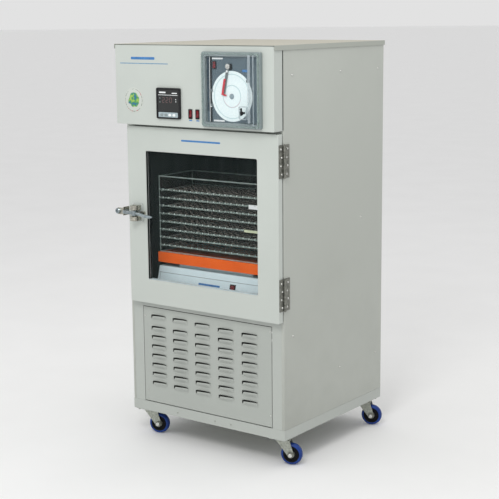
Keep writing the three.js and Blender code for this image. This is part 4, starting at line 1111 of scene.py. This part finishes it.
def pen_arm(m):
    """A thin arm with a red pen along its lower half, a pivot knob and a pale clamp."""
    px, pz = PEN_PIVOT
    tx, tz = PEN_TIP
    reach = math.hypot(tx - px, tz - pz)
    dx, dz = (tx - px) / reach, (tz - pz) / reach
    nx, nz = -dz, dx

    def bar_outline(start, end, half_a, half_b, shift=0.0):
        """A tapered bar along the arm, from start to end of its reach."""
        a = (px + dx * start + nx * shift, pz + dz * start + nz * shift)
        b = (px + dx * end + nx * shift, pz + dz * end + nz * shift)
        return [(a[0] - nx * half_a, a[1] - nz * half_a), (b[0] - nx * half_b, b[1] - nz * half_b),
                (b[0] + nx * half_b, b[1] + nz * half_b), (a[0] + nx * half_a, a[1] + nz * half_a)]

    pen = Shape()
    pen.prism(bar_outline(0, reach, 4.8, 4.2), "y", CASE_BACK - 6.4, CASE_BACK - 5.0, 0)
    pen.prism(bar_outline(reach * 0.44, reach, 3.6, 3.4, -3.2), "y", CASE_BACK - 9.2, CASE_BACK - 6.4, 1)
    pen.prism(bar_outline(reach * 0.955, reach * 1.01, 8, 7, 4), "y", CASE_BACK - 8.2, CASE_BACK - 6.4, 1)
    pen.lathe([(0, 4.4), (7.6, 4.4), (8, 5), (8, 8.4), (6.8, 9), (0, 8.7)], (px, CASE_BACK, pz), FORWARD,
              28, 2)
    pen.lathe([(0, 8.2), (3.4, 8.4), (3.8, 9.2), (2.6, 10), (0, 10.2)],
              (px + dx * 15, CASE_BACK + 2.0, pz + dz * 15), FORWARD, 18, 3)
    pen.build("pen_and_arm", [m[k] for k in ("arm", "pen_red", "screw", "white")], "pen", "black_plastic",
              ["pen_arm"], bevel=0.5)


def recorder_cover(m):
    """The clear door: its pane, its rim and paler raised bands, and the catch."""
    x0, x1, _, y, z0, z1 = extent("recorder_door")
    box = (x0, x1, z0, z1)
    front = y - 9
    pane = Shape().prism(inset(box, 0, 7), "y", front, front + 2.4)
    pane.build("recorder_pane", [m["cover"]], "recorder_door", "acrylic", ["recorder_door"], bevel=0.8)
    rim = Shape().ring(inset(box, 0, 7), inset(box, 3, 5), "y", front + 2.5, y)
    for band in COVER_BANDS:
        rim.prism(rounded(*band), "y", front - 0.5, front, 1)
    x, z = KNOB
    rim.ring(rounded(x - 14, x + 15, z - 20, z + 20, 4), rounded(x - 11.5, x + 12.5, z - 17, z + 17, 2), "y",
             front - 6, front, 1)
    rim.build("recorder_pane_rim", [m["edge"], m["cover_band"]], "recorder_door", "acrylic", bevel=0.8)
    knob = Shape()
    stem = [(0, 3.5), (3, 3.5), (3, 15.5), (5.6, 15.5), (5.6, 20.2), (4.8, 21), (0, 21)]
    wing = [(x - 2.6, z - 7), (x + 2.6, z - 7), (x + 1.3, z + 15), (x - 1.3, z + 15)]
    knob.lathe(stem, (x, y, z), FORWARD, 24)
    knob.prism(wing, "y", y - 23, y - 18)
    knob.build("recorder_catch", [m["black"]], "recorder_knob", "black_plastic", ["recorder_knob"], bevel=0.8)


def recorder(m):
    recorder_case(m)
    chart(m)
    pen_arm(m)
    recorder_cover(m)


# ---- agitator -------------------------------------------------------
def front_line(z):
    """y of the drive housing's sloping front at a height."""
    slope = (z - HOUSING_FOOT_Z) / (HOUSING_FOLD_Z - HOUSING_FOOT_Z)
    return HOUSING_TOE + (HOUSING_TOP_Y - HOUSING_TOE) * slope


def agitator(m):
    dressed("agitator_base", m["pale"], 2.0, 3, name="drive_case", limit=25)
    dressed("agitator_motor", m["machine"], 1.0)
    dressed("agitator_crank", m["zinc"], 0.5)
    dressed("agitator_rocker", m["red"], 0.8, name="drive_switch_cap")
    dressed("agitator_platform", m["orange"], 1.8, 3, name="shuttle_tray")
    trim = Shape()
    for x0, x1, z0, z1, proud, slot in DRIVE_LINES + tuple((*edge, 0.9, 2) for edge in SWITCH_FRAME):
        points = [(front_line(z0) - proud, z0), (front_line(z1) - proud, z1), (front_line(z1) + 0.4, z1),
                  (front_line(z0) + 0.4, z0)]
        trim.prism(points, "x", x0, x1, slot)
    trim.build("drive_case_trim", [m["seam"], m["blue"], m["black"]], "cabinet")


def bag_rack(m):
    """The clear cage: five walls, a pair of runners for each tray, and small pale bumps along its front,
    painted glints.
    """
    x0, x1, y0, y1, z0, z1 = extent("bag_rack")
    wall = 4
    shape = Shape()
    shape.pane(x0, x0 + wall, y0, y1, z0, z1)
    shape.pane(x1 - wall, x1, y0, y1, z0, z1)
    shape.pane(x0 + wall, x1 - wall, y0, y1, z1 - wall, z1)
    shape.pane(x0 + wall, x1 - wall, y0, y1, z0, z0 + wall)
    shape.pane(x0 + wall, x1 - wall, y1 - wall, y1, z0 + wall, z1 - wall)
    for k in range(TRAY_COUNT):
        z = extent(f"bag_tray_{k + 1}")[4] - 0.3
        for a, b in ((x0 + wall, x0 + wall + 6), (x1 - wall - 6, x1 - wall)):
            shape.pane(a, b, y0 + 6, y1 - wall - 1, z - 3, z)
        for x in (x0 + 2, x1 - 2):
            # Pale bumps at each tray: painted glints.
            shape.lathe([(0, 0), (1.9, 0), (1.5, 0.9), (0, 1.3)], (x, y0 + 0.1, z + 4), FORWARD, 12, 2)
    shape.build("rack_cage", [m["clear"], m["cage_edge_highlight"], m["glint"]], "shuttle", "acrylic", ["bag_rack"])


def perforated_floor(bm, x0, x1, y0, y1, z0, z1):
    """A sheet with a grid of round holes, whose walls have their own material."""
    columns = round((x1 - x0) / HOLE_PITCH)
    rows = round((y1 - y0) / HOLE_PITCH)
    dx, dy = (x1 - x0) / columns, (y1 - y0) / rows
    corners = {}

    def corner(i, j, z):
        key = (i, j, z)
        if key not in corners:
            corners[key] = bm.verts.new(at(x0 + i * dx / 2, y0 + j * dy / 2, z))
        return corners[key]

    for c in range(columns):
        for r in range(rows):
            cx, cy = x0 + (c + 0.5) * dx, y0 + (r + 0.5) * dy
            around = [(2, 1), (2, 2), (1, 2), (0, 2), (0, 1), (0, 0), (1, 0), (2, 0)]
            rims = []
            for z in (z0, z1):
                rim = [bm.verts.new(at(cx + a, cy + b, z)) for a, b in circle(HOLE_RADIUS, HOLE_SIDES)]
                outer = [corner(2 * c + i, 2 * r + j, z) for i, j in around]
                for k in range(HOLE_SIDES):
                    n = (k + 1) % HOLE_SIDES
                    bm.faces.new((rim[k], rim[n], outer[n], outer[k]))
                rims.append(rim)
            for k in range(HOLE_SIDES):
                n = (k + 1) % HOLE_SIDES
                bm.faces.new((rims[0][k], rims[0][n], rims[1][n], rims[1][k])).material_index = HOLE_SLOT
    border = [(i, j, i + 1, j) for i in range(2 * columns) for j in (0, 2 * rows)]
    border += [(i, j, i, j + 1) for j in range(2 * rows) for i in (0, 2 * columns)]
    for i, j, k, n in border:
        bm.faces.new((corner(i, j, z0), corner(k, n, z0), corner(k, n, z1), corner(i, j, z1)))
    return columns, dx


def bag_tray(index, m):
    """A perforated floor with an upstand all round, a row of pale posts along its front, painted glints of
    the holes, and, on two, a tag.
    """
    node = f"bag_tray_{index}"
    x0, x1, y0, y1, z0, z1 = extent(node)
    wall = 2.5
    shape = Shape()
    columns, pitch = perforated_floor(shape.bm, x0 + wall, x1 - wall, y0 + wall, y1 - wall, z0, z0 + 2.0)
    shape.pane(x0, x1, y0, y0 + wall, z0, z0 + 5.5, 1, 1)
    shape.pane(x0, x1, y1 - wall, y1, z0, z0 + 5.5, 1, 1)
    shape.pane(x0, x0 + wall, y0 + wall, y1 - wall, z0, z1, 0, 1)
    shape.pane(x1 - wall, x1, y0 + wall, y1 - wall, z0, z1, 0, 1)
    for c in range(columns):
        x = x0 + wall + (c + 0.5) * pitch
        # Pale posts along the front: painted glints of the holes near the edge.
        shape.prism(rounded(x - 1.2, x + 1.2, z0 + 2.4, z0 + 6.6, 1.0, 2), "y", y0 - 0.5, y0 + 1.4, 2)
    if index in TAGS:
        left, right, low, high, slot = TAGS[index]
        shape.box(left, right, y0 - 0.5, y0 - 0.1, z0 + low, z0 + high, slot)
    keys = ("clear", "edge", "glint", "white", "tag", "hole")
    shape.build(f"tray_{index}_perforated", [m[k] for k in keys], f"tray_{index}", "acrylic", [node])


# ---- castors --------------------------------------------------------
def castor(name, x, y, m):
    a = math.radians(TRAIL_ANGLE)
    hub = (x + TRAIL * math.cos(a), y + TRAIL * math.sin(a), WHEEL_R)
    axis = (-math.sin(a), math.cos(a), 0)
    dressed(f"castor_fork_{name}", m["zinc"], 0.9, 2, 40, name=f"castor_yoke_{name}")
    axle_bolt(name, hub, axis, m)
    wheel(name, hub, axis, m)


def axle_bolt(name, hub, axis, m):
    """A washer and a hexagon head on each outer face of the fork, found from the fork near its axle."""
    outward = Vector(axis)
    offsets = [v.co - at(*hub) for v in frame["nodes"][f"castor_fork_{name}"].data.vertices]
    spots = [o.dot(outward) / MM for o in offsets if (o - o.dot(outward) * outward).length < 16 * MM]
    bolt = Shape()
    for end, sign in ((min(spots), -1), (max(spots), 1)):
        seat = [h + a * end for h, a in zip(hub, axis)]
        facing = tuple(a * sign for a in axis)
        bolt.lathe([(0, 0), (9.4, 0), (9.4, 0.5), (7.4, 0.9), (0, 0.9)], seat, facing, 28, 1)
        bolt.lathe([(0, 0.8), (6.6, 0.8), (6.6, 4.2), (5.6, 5.0), (3.0, 5.2), (0, 4.6)], seat, facing, 6)
    bolt.build(f"castor_axle_bolt_{name}", [m["screw"], m["hinge"]], f"swivel_{name}")


def wheel(name, hub, axis, m):
    """Tyre, core and bushing turned as one profile, mirrored about the middle of the tread."""
    w = WHEEL_W / 2
    half = [
        (4.6, -w - 0.6, 2), (10.5, -w - 0.6, 2), (11.2, -w + 0.4, 2), (11.6, -w + 3.2, 1),
        (19.5, -w + 3.6, 1), (20.6, -w + 1.2, 1), (24.2, -w + 0.5, 1), (25.0, -w + 1.6, 1),
        (26.4, -w + 0.5, 0), (29.0, -w + 0.4, 0), (31.6, -w + 2.0, 0), (33.6, -w + 4.6, 0),
        (34.7, -w + 8.0, 0), (35.0, 0, 0),
    ]
    back = [(r, -h, half[max(i - 1, 0)][2]) for i, (r, h, _) in enumerate(half)][::-1][1:]
    tyre = Shape().lathe(half + back + half[:1], hub, axis, 48)
    tyre.build(f"castor_tyre_{name}", [m["tread"], m["core"], m["zinc"]], f"wheel_{name}", "wheel",
               [f"castor_wheel_{name}"], smooth=40)


def build():
    make_camera()
    m = make_materials()
    make_studio()
    casing(m)
    door(m)
    fascia(m)
    recorder(m)
    agitator(m)
    bag_rack(m)
    for index in range(1, TRAY_COUNT + 1):
        bag_tray(index, m)
    for side, x in CASTOR_SIDES:
        for end, y in CASTOR_ENDS:
            castor(f"{end}_{side}", x, y, m)

build()
